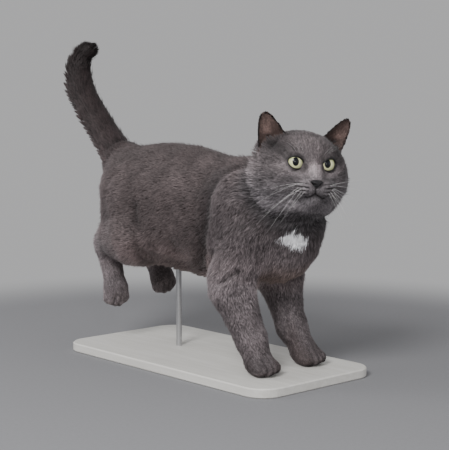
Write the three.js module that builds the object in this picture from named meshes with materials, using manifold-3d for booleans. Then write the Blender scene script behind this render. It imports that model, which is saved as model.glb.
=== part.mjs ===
// A blue short-haired cat, life size, caught in a little hop: the forefeet are down and braced
// forwards, both hind feet hang in the air, the tail is up and the head is turned to its right.
// It stands on a plain display stand, a flat base with one rod up to the belly.
//
// Millimetres. +Z is up, the cat faces -Y and its left side is +X. The origin is the centre of
// the underside of the base. The cat's own places are given above the ground between its
// forefeet, and every surface is the outside of the coat.

import * as THREE from 'three';
import { MarchingCubes } from 'three/addons/objects/MarchingCubes.js';
import { mergeVertices } from 'three/addons/utils/BufferGeometryUtils.js';
import { MeshoptSimplifier } from 'three/addons/libs/meshopt_simplifier.module.js';
import Module from 'manifold-3d';

const wasm = await Module();
wasm.setup();
await MeshoptSimplifier.ready;

const at = (x, y, z) => new THREE.Vector3(x, y, z);
const SIDES = [{ name: 'left', sign: 1 }, { name: 'right', sign: -1 }];
const mirrored = (point, sign) => at(point.x * sign, point.y, point.z);

// ---------------------------------------------------------------- driving dimensions

const GAP = 0.3; // parting cut between neighbouring pieces

// Marching-cube cell of each block, and how far its thinned facets may stray from the true surface.
const CELL = { body: 7, head: 4, leg: 5, paw: 4 };
const TOLERANCE = { body: 1.6, head: 0.55, leg: 0.9, paw: 0.65 };

const BODY = {
  backHeight: 276, // top of the back above the ground
  bellyHeight: 108, // underside of the belly
  chestHeight: 97, // underside of the chest, between the elbows
  chestFront: -66, // Y of the breast
  rumpBack: 330, // Y of the buttocks
  chestHalfWidth: 60,
  bellyHalfWidth: 70,
  pelvisHalfWidth: 47,
};

const HEAD = {
  place: at(-7, -50, 256), // middle of the skull
  turn: -25, // degrees about the vertical, towards its right
  nod: 1.5,
  roll: 4.7,
  eyeRadius: 11,
  eye: at(19.8, -27.8, 6.4), // in the head's own frame, left side
  noseTip: at(0, -58, -14),
  noseRadii: at(9.4, 6.2, 6.2),
};

const EAR = {
  root: at(37, 5, 24), // sunk in the scalp
  tip: at(55.5, -2, 60.5),
  across: at(0.74, 0.32, -0.59),
  halfWidth: 20,
  cupDepth: 10,
  halfThickness: 1.5,
};

const FORELEG = {
  shoulder: at(42, 6, 167),
  left: { elbow: at(48, 44, 111), wrist: at(42, 14, 46), paw: at(43, -12, 13) },
  right: { elbow: at(50, 31, 109), wrist: at(45, -3, 42), paw: at(43, -17, 13) },
  elbowRadius: 30,
  wristRadius: 19,
};

const HINDLEG = {
  hip: at(30, 263, 210),
  knee: at(50, 222, 146),
  fold: at(36, 156, 152), // where loose skin runs from the knee into the flank
  left: { hock: at(42, 318, 133), toes: at(56, 286, 66) },
  right: { hock: at(44, 293, 136), toes: at(46, 268, 60) },
  kneeRadius: 29,
  hockRadius: 16,
};

const PAW = { halfWidth: 19, halfLength: 25, toeRadius: 8.5, toeSpacing: 8.5, toeReach: 17 };

const TAIL = {
  route: [at(0, 292, 231), at(0, 325, 259), at(1, 358, 289), at(2, 389, 318), at(2, 414, 347),
    at(3, 424, 379), at(4, 414, 402), at(10, 392, 410)],
  rootRadius: 27,
  radius: 20,
  tipRadius: 13,
  roundFrom: 0.93,
  cuts: [0.16, 0.44, 0.72], // where the root leaves the rump, and the two partings
};

const STAND = { width: 200, length: 400, thickness: 12, corner: 28, bevel: 1.5, middle: 120,
  rodRadius: 4, rod: at(0, 190, 0), rodInBelly: 14 };

// Where the body is parted. Planes part the head, neck and lower legs, eggs part the haunches.
const CUTS = {
  nape: at(0, 50, -2), // in the head's own frame
  neckward: at(0, -0.51, 0.86),
  withers: at(0, 56, 263),
  elbowHeight: 97,
  wristHeight: 34,
  knee: at(0, 252, 128),
  shoulder: at(76, 18, 173),
  shoulderRadii: at(42, 62, 92),
  thigh: at(82, 276, 170),
  thighRadii: at(62, 86, 108),
  belowHock: 12,
  aboveToes: 30,
};

// ---------------------------------------------------------------- flesh as a smooth field

// Each muscle gives its distance from a point, negative inside, and how softly it joins the rest.
function ellipsoid(centre, radii, softness = 20) {
  const scaled = at(0, 0, 0);
  const squared = at(0, 0, 0);
  return {
    softness,
    distance(p) {
      scaled.subVectors(p, centre).divide(radii);
      squared.copy(scaled).divide(radii);
      const near = scaled.length();
      return near < 1e-6 ? -Math.min(radii.x, radii.y, radii.z) : near * (near - 1) / squared.length();
    },
  };
}

// A limb segment with round ends of different radii.
function taper(a, radiusA, b, radiusB, softness = 16) {
  const along = at(0, 0, 0).subVectors(b, a);
  const lengthSquared = along.lengthSq();
  const offset = at(0, 0, 0);
  return {
    softness,
    distance(p) {
      offset.subVectors(p, a);
      const t = THREE.MathUtils.clamp(offset.dot(along) / lengthSquared, 0, 1);
      offset.addScaledVector(along, -t);
      return offset.length() - THREE.MathUtils.lerp(radiusA, radiusB, t);
    },
  };
}

// Muscles joined softly into one body, with hollows pressed softly into it.
function join(muscles, hollows) {
  const soften = ({ softness }, a, b) => Math.max(softness - Math.abs(a - b), 0) ** 2 / softness / 4;
  const grow = (total, muscle, p) => {
    const d = muscle.distance(p);
    return Math.min(total, d) - soften(muscle, total, d);
  };
  const press = (total, hollow, p) => {
    const d = -hollow.distance(p);
    return Math.max(total, d) + soften(hollow, total, d);
  };
  return (p) => {
    const body = muscles.reduce((total, muscle) => grow(total, muscle, p), 1e3);
    return hollows.reduce((total, hollow) => press(total, hollow, p), body);
  };
}

// ---------------------------------------------------------------- the head's own frame

const headFrame = new THREE.Group();
headFrame.position.copy(HEAD.place);
headFrame.rotation.set(
  THREE.MathUtils.degToRad(HEAD.nod),
  THREE.MathUtils.degToRad(HEAD.roll),
  THREE.MathUtils.degToRad(HEAD.turn),
  'ZXY',
);
headFrame.updateMatrixWorld(true);
const headToBody = headFrame.matrixWorld;
const bodyToHead = headToBody.clone().invert();

// ---------------------------------------------------------------- muscles

function trunkMuscles() {
  const { backHeight: top, bellyHeight: bottom, chestHeight } = BODY;
  const middle = (top + bottom) / 2;
  const depth = (top - bottom) / 2;
  return [
    ellipsoid(at(0, BODY.chestFront + 66, middle - 14), at(50, 66, depth - 16), 24), // breast
    ellipsoid(at(0, 78, (top + chestHeight) / 2 - 6), at(BODY.chestHalfWidth, 92, depth - 2), 24), // ribs
    ellipsoid(at(0, 165, middle), at(BODY.bellyHalfWidth, 96, depth), 30), // belly
    ellipsoid(at(0, 226, middle + 12), at(62, 78, depth - 12), 26), // loins
    ellipsoid(at(0, BODY.rumpBack - 50, middle + 18), at(BODY.pelvisHalfWidth, 46, 58), 24), // pelvis
    taper(TAIL.route[0], TAIL.rootRadius + 4, TAIL.route[2], TAIL.radius, 24), // root of the tail
  ];
}

function neckMuscles() {
  const nape = at(0, 26, -16).applyMatrix4(headToBody);
  const throat = at(0, -14, -34).applyMatrix4(headToBody);
  return [
    taper(at(0, 40, 205), 56, nape, 40, 26),
    taper(at(0, 2, 185), 50, throat, 32, 22),
  ];
}

function headMuscles() {
  const muscles = [
    ellipsoid(at(0, 12, 4), at(50, 47, 40), 10), // skull
    ellipsoid(at(0, -14, 16), at(32, 22, 24), 14), // forehead
    taper(at(0, -24, 10), 15, at(0, -46, -8), 9.5, 14), // bridge of the nose
    ellipsoid(at(0, -39, -35), at(14, 13, 10), 8), // chin
  ];
  for (const { sign } of SIDES) {
    muscles.push(
      ellipsoid(at(sign * 26, 0, -14), at(33, 38, 32), 16), // cheek
      ellipsoid(at(sign * 34, 17, -20), at(27, 26, 30), 12), // ruff behind the cheek
      ellipsoid(at(sign * 26, -20, 7), at(17, 13, 16), 12), // rim of the eye socket
      ellipsoid(at(sign * 39, 19, 21), at(14, 10, 15), 12), // root of the ear
      ellipsoid(at(sign * 12, -41, -22), at(16, 15, 12), 6), // whisker pad
    );
  }
  return muscles.map(onTheHead);
}

// What the lids leave open in front of each eyeball, and the bowl in front of each ear.
function headHollows() {
  const { x, y, z } = HEAD.eye;
  return SIDES.flatMap(({ sign }) => [
    onTheHead(ellipsoid(at(sign * x, y - 9, z), at(11, 8, 10), 3)),
    onTheHead(ellipsoid(at(sign * 45, -3, 33), at(12, 10, 14), 6)),
  ]);
}

function onTheHead({ softness, distance }) {
  const inHead = at(0, 0, 0);
  return { softness, distance: (p) => distance(inHead.copy(p).applyMatrix4(bodyToHead)) };
}

// Four toes side by side across the front of a paw, each a round-ended segment.
function toes(middle, forward, down) {
  const { toeRadius, toeSpacing, toeReach } = PAW;
  const aside = at(0, 0, 0).crossVectors(forward, down).normalize();
  return [-1.5, -0.5, 0.5, 1.5].map((place) => {
    const reach = toeReach - 4 * Math.abs(place);
    const knuckle = middle.clone().addScaledVector(aside, place * toeSpacing * 0.8)
      .addScaledVector(forward, reach - 1.3 * toeRadius);
    const end = middle.clone().addScaledVector(aside, place * toeSpacing)
      .addScaledVector(forward, reach).addScaledVector(down, 3);
    return taper(knuckle, toeRadius, end, toeRadius - 0.5, 4);
  });
}

function forelegMuscles({ name, sign }) {
  const { elbow, wrist, paw } = FORELEG[name];
  const shoulder = mirrored(FORELEG.shoulder, sign);
  const [e, w, p] = [elbow, wrist, paw].map((point) => mirrored(point, sign));
  return [
    ellipsoid(at(sign * 44, 32, 193), at(24, 44, 56), 14), // shoulder blade
    taper(shoulder, 30, e, FORELEG.elbowRadius, 13),
    taper(e, FORELEG.elbowRadius - 1, w, FORELEG.wristRadius, 14),
    taper(w, FORELEG.wristRadius, p, 15, 10),
    ellipsoid(p.clone().add(at(0, 2, 1)), at(PAW.halfWidth - 2, PAW.halfLength - 5, 13), 8),
    ...toes(p, at(0, -1, 0), at(0, 0, -1)),
  ];
}

function hindlegMuscles({ name, sign }) {
  const hip = mirrored(HINDLEG.hip, sign);
  const knee = mirrored(HINDLEG.knee, sign);
  const [hock, toe] = [HINDLEG[name].hock, HINDLEG[name].toes].map((point) => mirrored(point, sign));
  const foot = at(0, 0, 0).subVectors(toe, hock).normalize();
  const sole = at(0, 1, 0).addScaledVector(foot, -foot.y).normalize();
  return [
    taper(hip, 35, knee, HINDLEG.kneeRadius, 24), // thigh
    taper(mirrored(HINDLEG.fold, sign), 22, knee, HINDLEG.kneeRadius - 4, 24), // fold of the flank
    taper(hip.clone().add(at(0, 6, -16)), 28, hock.clone().add(at(0, -10, 10)), 17, 20), // hamstrings
    taper(knee, HINDLEG.kneeRadius - 3, hock, HINDLEG.hockRadius + 2, 22), // shank
    taper(hock, HINDLEG.hockRadius, toe.clone().addScaledVector(foot, -22), 14.5, 10), // metatarsus
    ellipsoid(toe.clone().addScaledVector(foot, -14), at(17, 15, 17), 8),
    ...toes(toe.clone().addScaledVector(foot, -14), foot, sole),
  ];
}

const flesh = join([
  ...trunkMuscles(),
  ...neckMuscles(),
  ...headMuscles(),
  ...SIDES.flatMap(forelegMuscles),
  ...SIDES.flatMap(hindlegMuscles),
], headHollows());

// ---------------------------------------------------------------- solids

// A closed mesh as a solid, from its positions alone. With a tolerance, flat stretches are thinned
// to fewer triangles that stay that near to the shape.
function solid(geometry, tolerance = 0) {
  const bare = geometry.index ? geometry.toNonIndexed() : geometry.clone();
  const shape = new THREE.BufferGeometry().setAttribute('position', bare.getAttribute('position'));
  const merged = mergeVertices(shape, 1e-3);
  const corners = merged.index.array;
  const vertProperties = new Float32Array(merged.getAttribute('position').array);
  const faces = [];
  for (let i = 0; i < corners.length; i += 3) {
    const [a, b, c] = corners.slice(i, i + 3);
    if (a !== b && b !== c && c !== a) faces.push(a, b, c);
  }
  let triVerts = new Uint32Array(faces);
  if (tolerance > 0) {
    [triVerts] = MeshoptSimplifier.simplify(triVerts, vertProperties, 3, 0, tolerance, ['ErrorAbsolute']);
  }
  return new wasm.Manifold(new wasm.Mesh({ numProp: 3, vertProperties, triVerts }));
}

// The same closed mesh, every corner moved outwards.
function grown(geometry, by) {
  const bare = new THREE.BufferGeometry().setIndex(geometry.index);
  bare.setAttribute('position', geometry.getAttribute('position').clone());
  const merged = mergeVertices(bare, 1e-3);
  merged.computeVertexNormals();
  const position = merged.getAttribute('position');
  const normal = merged.getAttribute('normal');
  for (let i = 0; i < position.count; i++) {
    position.setXYZ(i, position.getX(i) + by * normal.getX(i), position.getY(i) + by * normal.getY(i),
      position.getZ(i) + by * normal.getZ(i));
  }
  return merged;
}

// The skin of a field inside a box, as marching cubes of the given cell. Where the flesh runs on
// past the box the solid is closed there, and a parting cut takes that end off.
function polygonize(field, box, cell, tolerance) {
  const size = box.getSize(at(0, 0, 0));
  const steps = Math.ceil(Math.max(size.x, size.y, size.z) / cell) + 6;
  const cubes = new MarchingCubes(steps, new THREE.Material(), false, false, 40000);
  cubes.isolation = 0;
  const middle = box.getCenter(at(0, 0, 0));
  const p = at(0, 0, 0);
  const place = (i) => (i - steps / 2) * cell;
  for (let k = 0, q = 0; k < steps; k++) {
    for (let j = 0; j < steps; j++) {
      for (let i = 0; i < steps; i++, q++) {
        p.set(place(i), place(j), place(k)).add(middle);
        cubes.field[q] = box.containsPoint(p) ? -field(p) : -cell;
      }
    }
  }
  cubes.update();
  const used = cubes.geometry.getAttribute('position').array.slice(0, cubes.count * 3);
  const half = (steps / 2) * cell;
  const skin = new THREE.BufferGeometry().setAttribute('position', new THREE.BufferAttribute(used, 3));
  skin.scale(half, half, half).translate(middle.x, middle.y, middle.z);
  return solid(skin, tolerance);
}

// Keeps the side of a plane that the normal points to, half a parting gap off it.
const keep = (shape, plane) => shape.trimByPlane(plane.normal.toArray(), plane.distance + GAP / 2);
const drop = (shape, { normal, distance }) => keep(shape, {
  normal: normal.clone().negate(),
  distance: -distance,
});

function planeThrough(point, normal) {
  const unit = normal.clone().normalize();
  return { normal: unit, distance: unit.dot(point) };
}

// The biggest of the pieces that a cut leaves, without crumbs.
function main(shape) {
  return shape.decompose().reduce((best, piece) => (piece.volume() > best.volume() ? piece : best));
}

function geometryOf(shape) {
  const mesh = shape.getMesh();
  const geometry = new THREE.BufferGeometry()
    .setAttribute('position', new THREE.BufferAttribute(new Float32Array(mesh.vertProperties), 3))
    .setIndex(new THREE.BufferAttribute(new Uint32Array(mesh.triVerts), 1));
  geometry.computeVertexNormals();
  return geometry;
}

const egg = (centre, radii, grow = 0) => solid(
  new THREE.SphereGeometry(1, 20, 14)
    .scale(radii.x + grow, radii.y + grow, radii.z + grow)
    .translate(centre.x, centre.y, centre.z),
);

// ---------------------------------------------------------------- materials

const coat = new THREE.MeshStandardMaterial({ name: 'coat', color: 0x5a5559, roughness: 0.85 });
const eyeGlass = new THREE.MeshStandardMaterial({ name: 'eye', color: 0xb4bd7c, roughness: 0.1 });
const leather = new THREE.MeshStandardMaterial({ name: 'nose', color: 0x3a3439, roughness: 0.5 });
const wood = new THREE.MeshStandardMaterial({ name: 'stand', color: 0xd9d6d0, roughness: 0.5 });
const steel = new THREE.MeshStandardMaterial({ name: 'rod', color: 0xb8b8b8, roughness: 0.3 });
steel.metalness = 1;

const cat = new THREE.Group();
cat.name = 'cat';
const onHead = new THREE.Group();
onHead.position.copy(headFrame.position);
onHead.rotation.copy(headFrame.rotation);
cat.add(onHead);

function add(name, geometry, material, parent = cat) {
  const mesh = new THREE.Mesh(geometry, material);
  mesh.name = name;
  parent.add(mesh);
}

// ---------------------------------------------------------------- tail

const tailCurve = new THREE.CatmullRomCurve3(TAIL.route, false, 'centripetal');
const tailPlane = planeThrough(tailCurve.getPointAt(TAIL.cuts[0]), tailCurve.getTangentAt(TAIL.cuts[0]));

function tailRadius(t) {
  const { rootRadius, radius, tipRadius, roundFrom } = TAIL;
  const body = THREE.MathUtils.lerp(rootRadius, radius, THREE.MathUtils.smoothstep(t, 0, 0.35));
  const end = THREE.MathUtils.lerp(body, tipRadius, THREE.MathUtils.smoothstep(t, 0.7, 1));
  const rounding = THREE.MathUtils.clamp((t - roundFrom) / (1 - roundFrom), 0, 1);
  return end * Math.sqrt(1 - rounding * rounding);
}

// A lathe-turned spindle, bent along the tail's route.
function addTail() {
  const rings = 20;
  const profile = [new THREE.Vector2(0, 0)];
  for (let i = 0; i < rings; i++) {
    const t = 1 - (1 - i / rings) ** 1.15;
    profile.push(new THREE.Vector2(tailRadius(t), t));
  }
  profile.push(new THREE.Vector2(0, 1));
  const spindle = new THREE.LatheGeometry(profile, 12);
  const position = spindle.getAttribute('position');
  for (let i = 0; i < position.count; i++) {
    const t = position.getY(i);
    const ahead = tailCurve.getTangentAt(t);
    const aside = at(1, 0, 0).addScaledVector(ahead, -ahead.x).normalize();
    const outward = at(0, 0, 0).crossVectors(ahead, aside);
    const point = tailCurve.getPointAt(t)
      .addScaledVector(aside, position.getX(i))
      .addScaledVector(outward, -position.getZ(i));
    position.setXYZ(i, point.x, point.y, point.z);
  }
  let rest = keep(solid(spindle), tailPlane);
  const names = ['tail_root', 'tail_middle', 'tail_tip'];
  TAIL.cuts.slice(1).forEach((t, i) => {
    const plane = planeThrough(tailCurve.getPointAt(t), tailCurve.getTangentAt(t));
    add(names[i], geometryOf(main(drop(rest, plane))), coat);
    rest = main(keep(rest, plane));
  });
  add(names.at(-1), geometryOf(rest), coat);
}

// ---------------------------------------------------------------- ears

// A ball pressed into a thin leaf: pointed, cupped towards the front, and sunk in the scalp.
function ear(sign) {
  const leaf = new THREE.SphereGeometry(1, 16, 9);
  const position = leaf.getAttribute('position');
  const up = EAR.tip.clone().sub(EAR.root);
  const across = EAR.across.clone().normalize();
  const front = at(0, 0, 0).crossVectors(across, up).normalize();
  for (let i = 0; i < position.count; i++) {
    const [x, y, z] = [position.getX(i), position.getY(i), position.getZ(i)];
    const height = (y + 1) / 2;
    const around = Math.hypot(x, z);
    const aside = around > 1e-6 ? x / around : 0;
    const face = around > 1e-6 ? z / around : 0;
    const narrowing = (1 - height) ** 0.46 * Math.min(1, around * 6);
    const cup = EAR.cupDepth * (1 - 0.75 * height) * (1 - aside * aside);
    const thickness = face * EAR.halfThickness * Math.min(1, around * 3);
    const point = EAR.root.clone().addScaledVector(up, height)
      .addScaledVector(across, aside * EAR.halfWidth * narrowing)
      .addScaledVector(front, thickness - cup);
    position.setXYZ(i, point.x * sign, point.y, point.z);
  }
  if (sign < 0) leaf.setIndex(Array.from(leaf.index.array).reverse());
  return leaf;
}

// ---------------------------------------------------------------- parting cuts

const UP = at(0, 0, 1);
const headPlane = planeThrough(CUTS.nape, CUTS.neckward);
const headPlaneInBody = planeThrough(CUTS.nape.clone().applyMatrix4(headToBody),
  CUTS.neckward.clone().transformDirection(headToBody));
const neckPlane = planeThrough(CUTS.withers, CUTS.neckward);
const elbowPlane = planeThrough(at(0, 0, CUTS.elbowHeight), UP);
const wristPlane = planeThrough(at(0, 0, CUTS.wristHeight), UP);
const groundPlane = planeThrough(at(0, 0, GAP / 2), UP);
const kneePlane = planeThrough(CUTS.knee, at(0, 0.62, -0.78));
const shoulderEgg = (sign, grow) => egg(mirrored(CUTS.shoulder, sign), CUTS.shoulderRadii, grow);
const thighEgg = (sign, grow) => egg(mirrored(CUTS.thigh, sign), CUTS.thighRadii, grow);

// A hind foot's own frame: from the hock down to the toes.
function footOf({ name, sign }) {
  const hock = mirrored(HINDLEG[name].hock, sign);
  const toe = mirrored(HINDLEG[name].toes, sign);
  const down = toe.clone().sub(hock).normalize();
  const ankle = hock.clone().addScaledVector(down, CUTS.belowHock);
  return { hock, toe, down, ankle, knuckles: toe.clone().addScaledVector(down, -CUTS.aboveToes) };
}

// A block that holds a whole hind foot from the ankle down.
function footBlock(leg, grow) {
  const { toe, down, ankle } = footOf(leg);
  const length = toe.distanceTo(ankle) + 2 * PAW.halfWidth;
  const middle = ankle.clone().addScaledVector(down, length / 2 - grow);
  const width = 3.3 * PAW.halfWidth + 2 * grow;
  const depth = 2.9 * PAW.halfWidth + 2 * grow;
  return solid(new THREE.BoxGeometry(width, depth, length)
    .applyQuaternion(new THREE.Quaternion().setFromUnitVectors(at(0, 0, -1), down))
    .translate(middle.x, middle.y, middle.z));
}

// ---------------------------------------------------------------- head

function inHeadFrame(field) {
  const p = at(0, 0, 0);
  return (q) => field(p.copy(q).applyMatrix4(headToBody));
}

// The leather of the nose: a ball that narrows downwards.
function nose(grow) {
  const { noseTip, noseRadii } = HEAD;
  const pad = new THREE.SphereGeometry(1, 10, 7);
  const position = pad.getAttribute('position');
  for (let i = 0; i < position.count; i++) {
    const [x, y, z] = [position.getX(i), position.getY(i), position.getZ(i)];
    const narrowing = Math.max(0.62 + 0.38 * z, 0.25);
    position.setXYZ(
      i,
      x * (noseRadii.x + grow) * narrowing,
      y * (noseRadii.y + grow),
      z * (noseRadii.z + grow),
    );
  }
  return solid(pad.translate(noseTip.x, noseTip.y + 0.8 * noseRadii.y, noseTip.z));
}

function eyeball(sign, grow) {
  return new THREE.SphereGeometry(HEAD.eyeRadius + grow, 14, 8).rotateX(Math.PI / 2)
    .translate(sign * HEAD.eye.x, HEAD.eye.y, HEAD.eye.z);
}

function addHead() {
  const box = new THREE.Box3(at(-76, -68, -66), at(76, 76, 62));
  let head = keep(polygonize(inHeadFrame(flesh), box, CELL.head, TOLERANCE.head), headPlane);
  const scalp = solid(grown(geometryOf(head), 2 * GAP));
  for (const { name, sign } of SIDES) {
    head = head.subtract(solid(eyeball(sign, GAP)));
    add('eye_' + name, eyeball(sign, 0), eyeGlass, onHead);
    add('ear_' + name, geometryOf(main(solid(ear(sign)).subtract(scalp))), coat, onHead);
  }
  add('head', geometryOf(main(head.subtract(nose(GAP)))), coat, onHead);
  add('nose', geometryOf(nose(0)), leather, onHead);
}

// ---------------------------------------------------------------- neck, trunk and legs

function addBody() {
  const box = new THREE.Box3(at(-100, -110, 86), at(100, 370, 320));
  const whole = drop(keep(polygonize(flesh, box, CELL.body, TOLERANCE.body), elbowPlane), headPlaneInBody);
  add('neck', geometryOf(main(keep(whole, neckPlane))), coat);
  let trunk = drop(drop(whole, neckPlane), tailPlane);
  for (const leg of SIDES) {
    const { name, sign } = leg;
    const shoulder = trunk.intersect(shoulderEgg(sign, -GAP / 2));
    add('upper_arm_' + name, geometryOf(main(shoulder)), coat);
    const hind = trunk.intersect(thighEgg(sign, -GAP / 2)).subtract(footBlock(leg, GAP / 2));
    add('thigh_' + name, geometryOf(main(drop(hind, kneePlane))), coat);
    add('shank_' + name, geometryOf(main(keep(hind, kneePlane))), coat);
    trunk = trunk.subtract(shoulderEgg(sign, GAP / 2)).subtract(thighEgg(sign, GAP / 2))
      .subtract(footBlock(leg, GAP / 2));
  }
  add('trunk', geometryOf(main(trunk.subtract(rod(GAP)))), coat);
}

function addForeleg({ name, sign }) {
  const { elbow, paw } = FORELEG[name];
  const near = mirrored(paw, sign);
  const box = (low, high) => new THREE.Box3(
    at(near.x - 46, near.y - 46, low), at(near.x + 46, elbow.y + 42, high));
  const lower = polygonize(flesh, box(20, 110), CELL.leg, TOLERANCE.leg);
  add('forearm_' + name, geometryOf(main(keep(drop(lower, elbowPlane), wristPlane))), coat);
  const foot = polygonize(flesh, box(-20, 46), CELL.paw, TOLERANCE.paw);
  add('forepaw_' + name, geometryOf(main(keep(drop(foot, wristPlane), groundPlane))), coat);
}

function addHindFoot(leg) {
  const { hock, toe, down, knuckles } = footOf(leg);
  const box = new THREE.Box3().setFromPoints([hock, toe]).expandByScalar(34);
  const foot = polygonize(flesh, box, CELL.paw, TOLERANCE.paw).intersect(footBlock(leg, -GAP / 2));
  const plane = planeThrough(knuckles, down);
  add('hind_foot_' + leg.name, geometryOf(main(drop(foot, plane))), coat);
  add('hind_paw_' + leg.name, geometryOf(main(keep(foot, plane))), coat);
}

// ---------------------------------------------------------------- stand

function rod(grow) {
  const { rod: foot, rodRadius, rodInBelly, thickness } = STAND;
  const low = -thickness / 2 - grow;
  const high = BODY.bellyHeight + rodInBelly + grow;
  return solid(new THREE.CylinderGeometry(rodRadius + grow, rodRadius + grow, high - low, 18)
    .rotateX(Math.PI / 2).translate(foot.x, foot.y, (high + low) / 2));
}

function addStand() {
  const { width, length, thickness, corner, bevel, middle } = STAND;
  const [x, y] = [width / 2 - bevel, length / 2 - bevel];
  const outline = new THREE.Shape()
    .absarc(x - corner, y - corner, corner, 0, Math.PI / 2)
    .absarc(corner - x, y - corner, corner, Math.PI / 2, Math.PI)
    .absarc(corner - x, corner - y, corner, Math.PI, Math.PI * 1.5)
    .absarc(x - corner, corner - y, corner, Math.PI * 1.5, Math.PI * 2);
  const plate = new THREE.ExtrudeGeometry(outline, {
    depth: thickness - 2 * bevel,
    bevelThickness: bevel,
    bevelSize: bevel,
    bevelSegments: 1,
    curveSegments: 5,
  }).translate(0, middle, bevel - thickness);
  add('stand_base', geometryOf(solid(plate).subtract(rod(GAP))), wood);
  add('stand_rod', geometryOf(rod(0)), steel);
}

addHead();
addBody();
SIDES.forEach(addForeleg);
SIDES.forEach(addHindFoot);
addTail();
addStand();
cat.position.set(0, -STAND.middle, STAND.thickness);

export default cat;
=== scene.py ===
"""A life-size grey cat in a low hop on a display stand: one skin, a tufted coat, a face and feet."""
import math

import bmesh
import bpy
import numpy as np
from mathutils import Matrix, Vector
from mathutils.bvhtree import BVHTree


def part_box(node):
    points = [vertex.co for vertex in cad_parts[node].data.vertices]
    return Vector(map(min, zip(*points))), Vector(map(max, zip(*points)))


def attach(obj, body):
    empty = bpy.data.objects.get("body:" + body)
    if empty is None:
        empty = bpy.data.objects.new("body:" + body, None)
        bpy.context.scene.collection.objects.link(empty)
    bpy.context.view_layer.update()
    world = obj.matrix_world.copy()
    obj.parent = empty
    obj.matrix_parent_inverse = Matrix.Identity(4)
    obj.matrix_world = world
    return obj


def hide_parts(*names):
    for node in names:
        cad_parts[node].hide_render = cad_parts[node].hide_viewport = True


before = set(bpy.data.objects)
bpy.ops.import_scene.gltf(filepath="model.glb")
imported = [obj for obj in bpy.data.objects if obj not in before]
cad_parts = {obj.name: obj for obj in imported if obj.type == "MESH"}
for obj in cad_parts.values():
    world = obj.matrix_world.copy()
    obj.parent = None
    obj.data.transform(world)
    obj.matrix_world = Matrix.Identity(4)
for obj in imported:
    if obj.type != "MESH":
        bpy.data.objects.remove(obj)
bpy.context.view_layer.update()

MM = 0.001

# ------------ camera, light and room

AIM = Vector((4, -19, 185)) * MM
CAMERA_TURN, CAMERA_RISE, CAMERA_AWAY = math.radians(-42), math.radians(6), 1.6
LENS, SENSOR = 97.6, 36
LIGHTS = (  # name, bearing, height angle, distance, size, power
    ("key", -66, 34, 2.2, 0.8, 44),
    ("fill", 10, 15, 2.4, 1.4, 8),
    ("catch", -37, 17, 2.2, 0.17, 4.5),
    ("back", -140, 28, 2.4, 1.2, 16),
)
ROOM_TONE, ROOM_LIGHT = (0.93, 0.93, 0.94), 0.5


def heading(turn, rise):
    """The way at that bearing and height angle, with straight ahead of the cat as 0."""
    return math.sin(turn) * math.cos(rise), -math.cos(turn) * math.cos(rise), math.sin(rise)


def aimed(name, data, turn, rise, away):
    """A camera or lamp that far from the cat, at that bearing and height angle, turned to look at it."""
    thing = bpy.data.objects.new(name, data)
    thing.location = AIM + away * Vector(heading(turn, rise))
    thing.rotation_euler = (AIM - thing.location).to_track_quat("-Z", "Y").to_euler()
    bpy.context.scene.collection.objects.link(thing)
    return thing


def studio():
    """The camera, four soft lights and a pale room."""
    lens = bpy.data.cameras.new("camera")
    lens.lens, lens.sensor_width = LENS, SENSOR
    bpy.context.scene.camera = aimed("camera", lens, CAMERA_TURN, CAMERA_RISE, CAMERA_AWAY)
    for name, turn, rise, away, size, power in LIGHTS:
        lamp = bpy.data.lights.new(name, "AREA")
        lamp.shape, lamp.size, lamp.energy = "DISK", size, power
        aimed(name, lamp, math.radians(turn), math.radians(rise), away)
    world = bpy.data.worlds.new("room")
    world.use_nodes = True
    sky = world.node_tree.nodes["Background"].inputs
    sky["Color"].default_value, sky["Strength"].default_value = (*ROOM_TONE, 1), ROOM_LIGHT
    bpy.context.scene.world = world


# ------------ shader maths

class Value:
    """A shader socket that Python's operators work on, each adding its Math node."""

    def __init__(self, finish, socket):
        self.finish, self.socket = finish, socket

    def maths(self, operation, *others):
        return self.finish.node("Math", {"operation": operation}, dict(enumerate((self, *others))))

    def __add__(self, other):
        return self.maths("ADD", other)

    def __mul__(self, other):
        return self.maths("MULTIPLY", other)

    def __sub__(self, other):
        return self.maths("SUBTRACT", other)

    def __rsub__(self, other):
        return self.finish.node("Math", {"operation": "SUBTRACT"}, {0: other, 1: self})

    def __pow__(self, other):
        return self.maths("POWER", other)

    __radd__, __rmul__ = __add__, __mul__

    def ease(self, low, high, start=0.0, end=1.0):
        """Goes smoothly from start to end as this value goes from low to high."""
        return self.finish.node(
            "MapRange", {"interpolation_type": "SMOOTHSTEP"},
            {"Value": self, "From Min": low, "From Max": high, "To Min": start, "To Max": end},
        )


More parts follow.
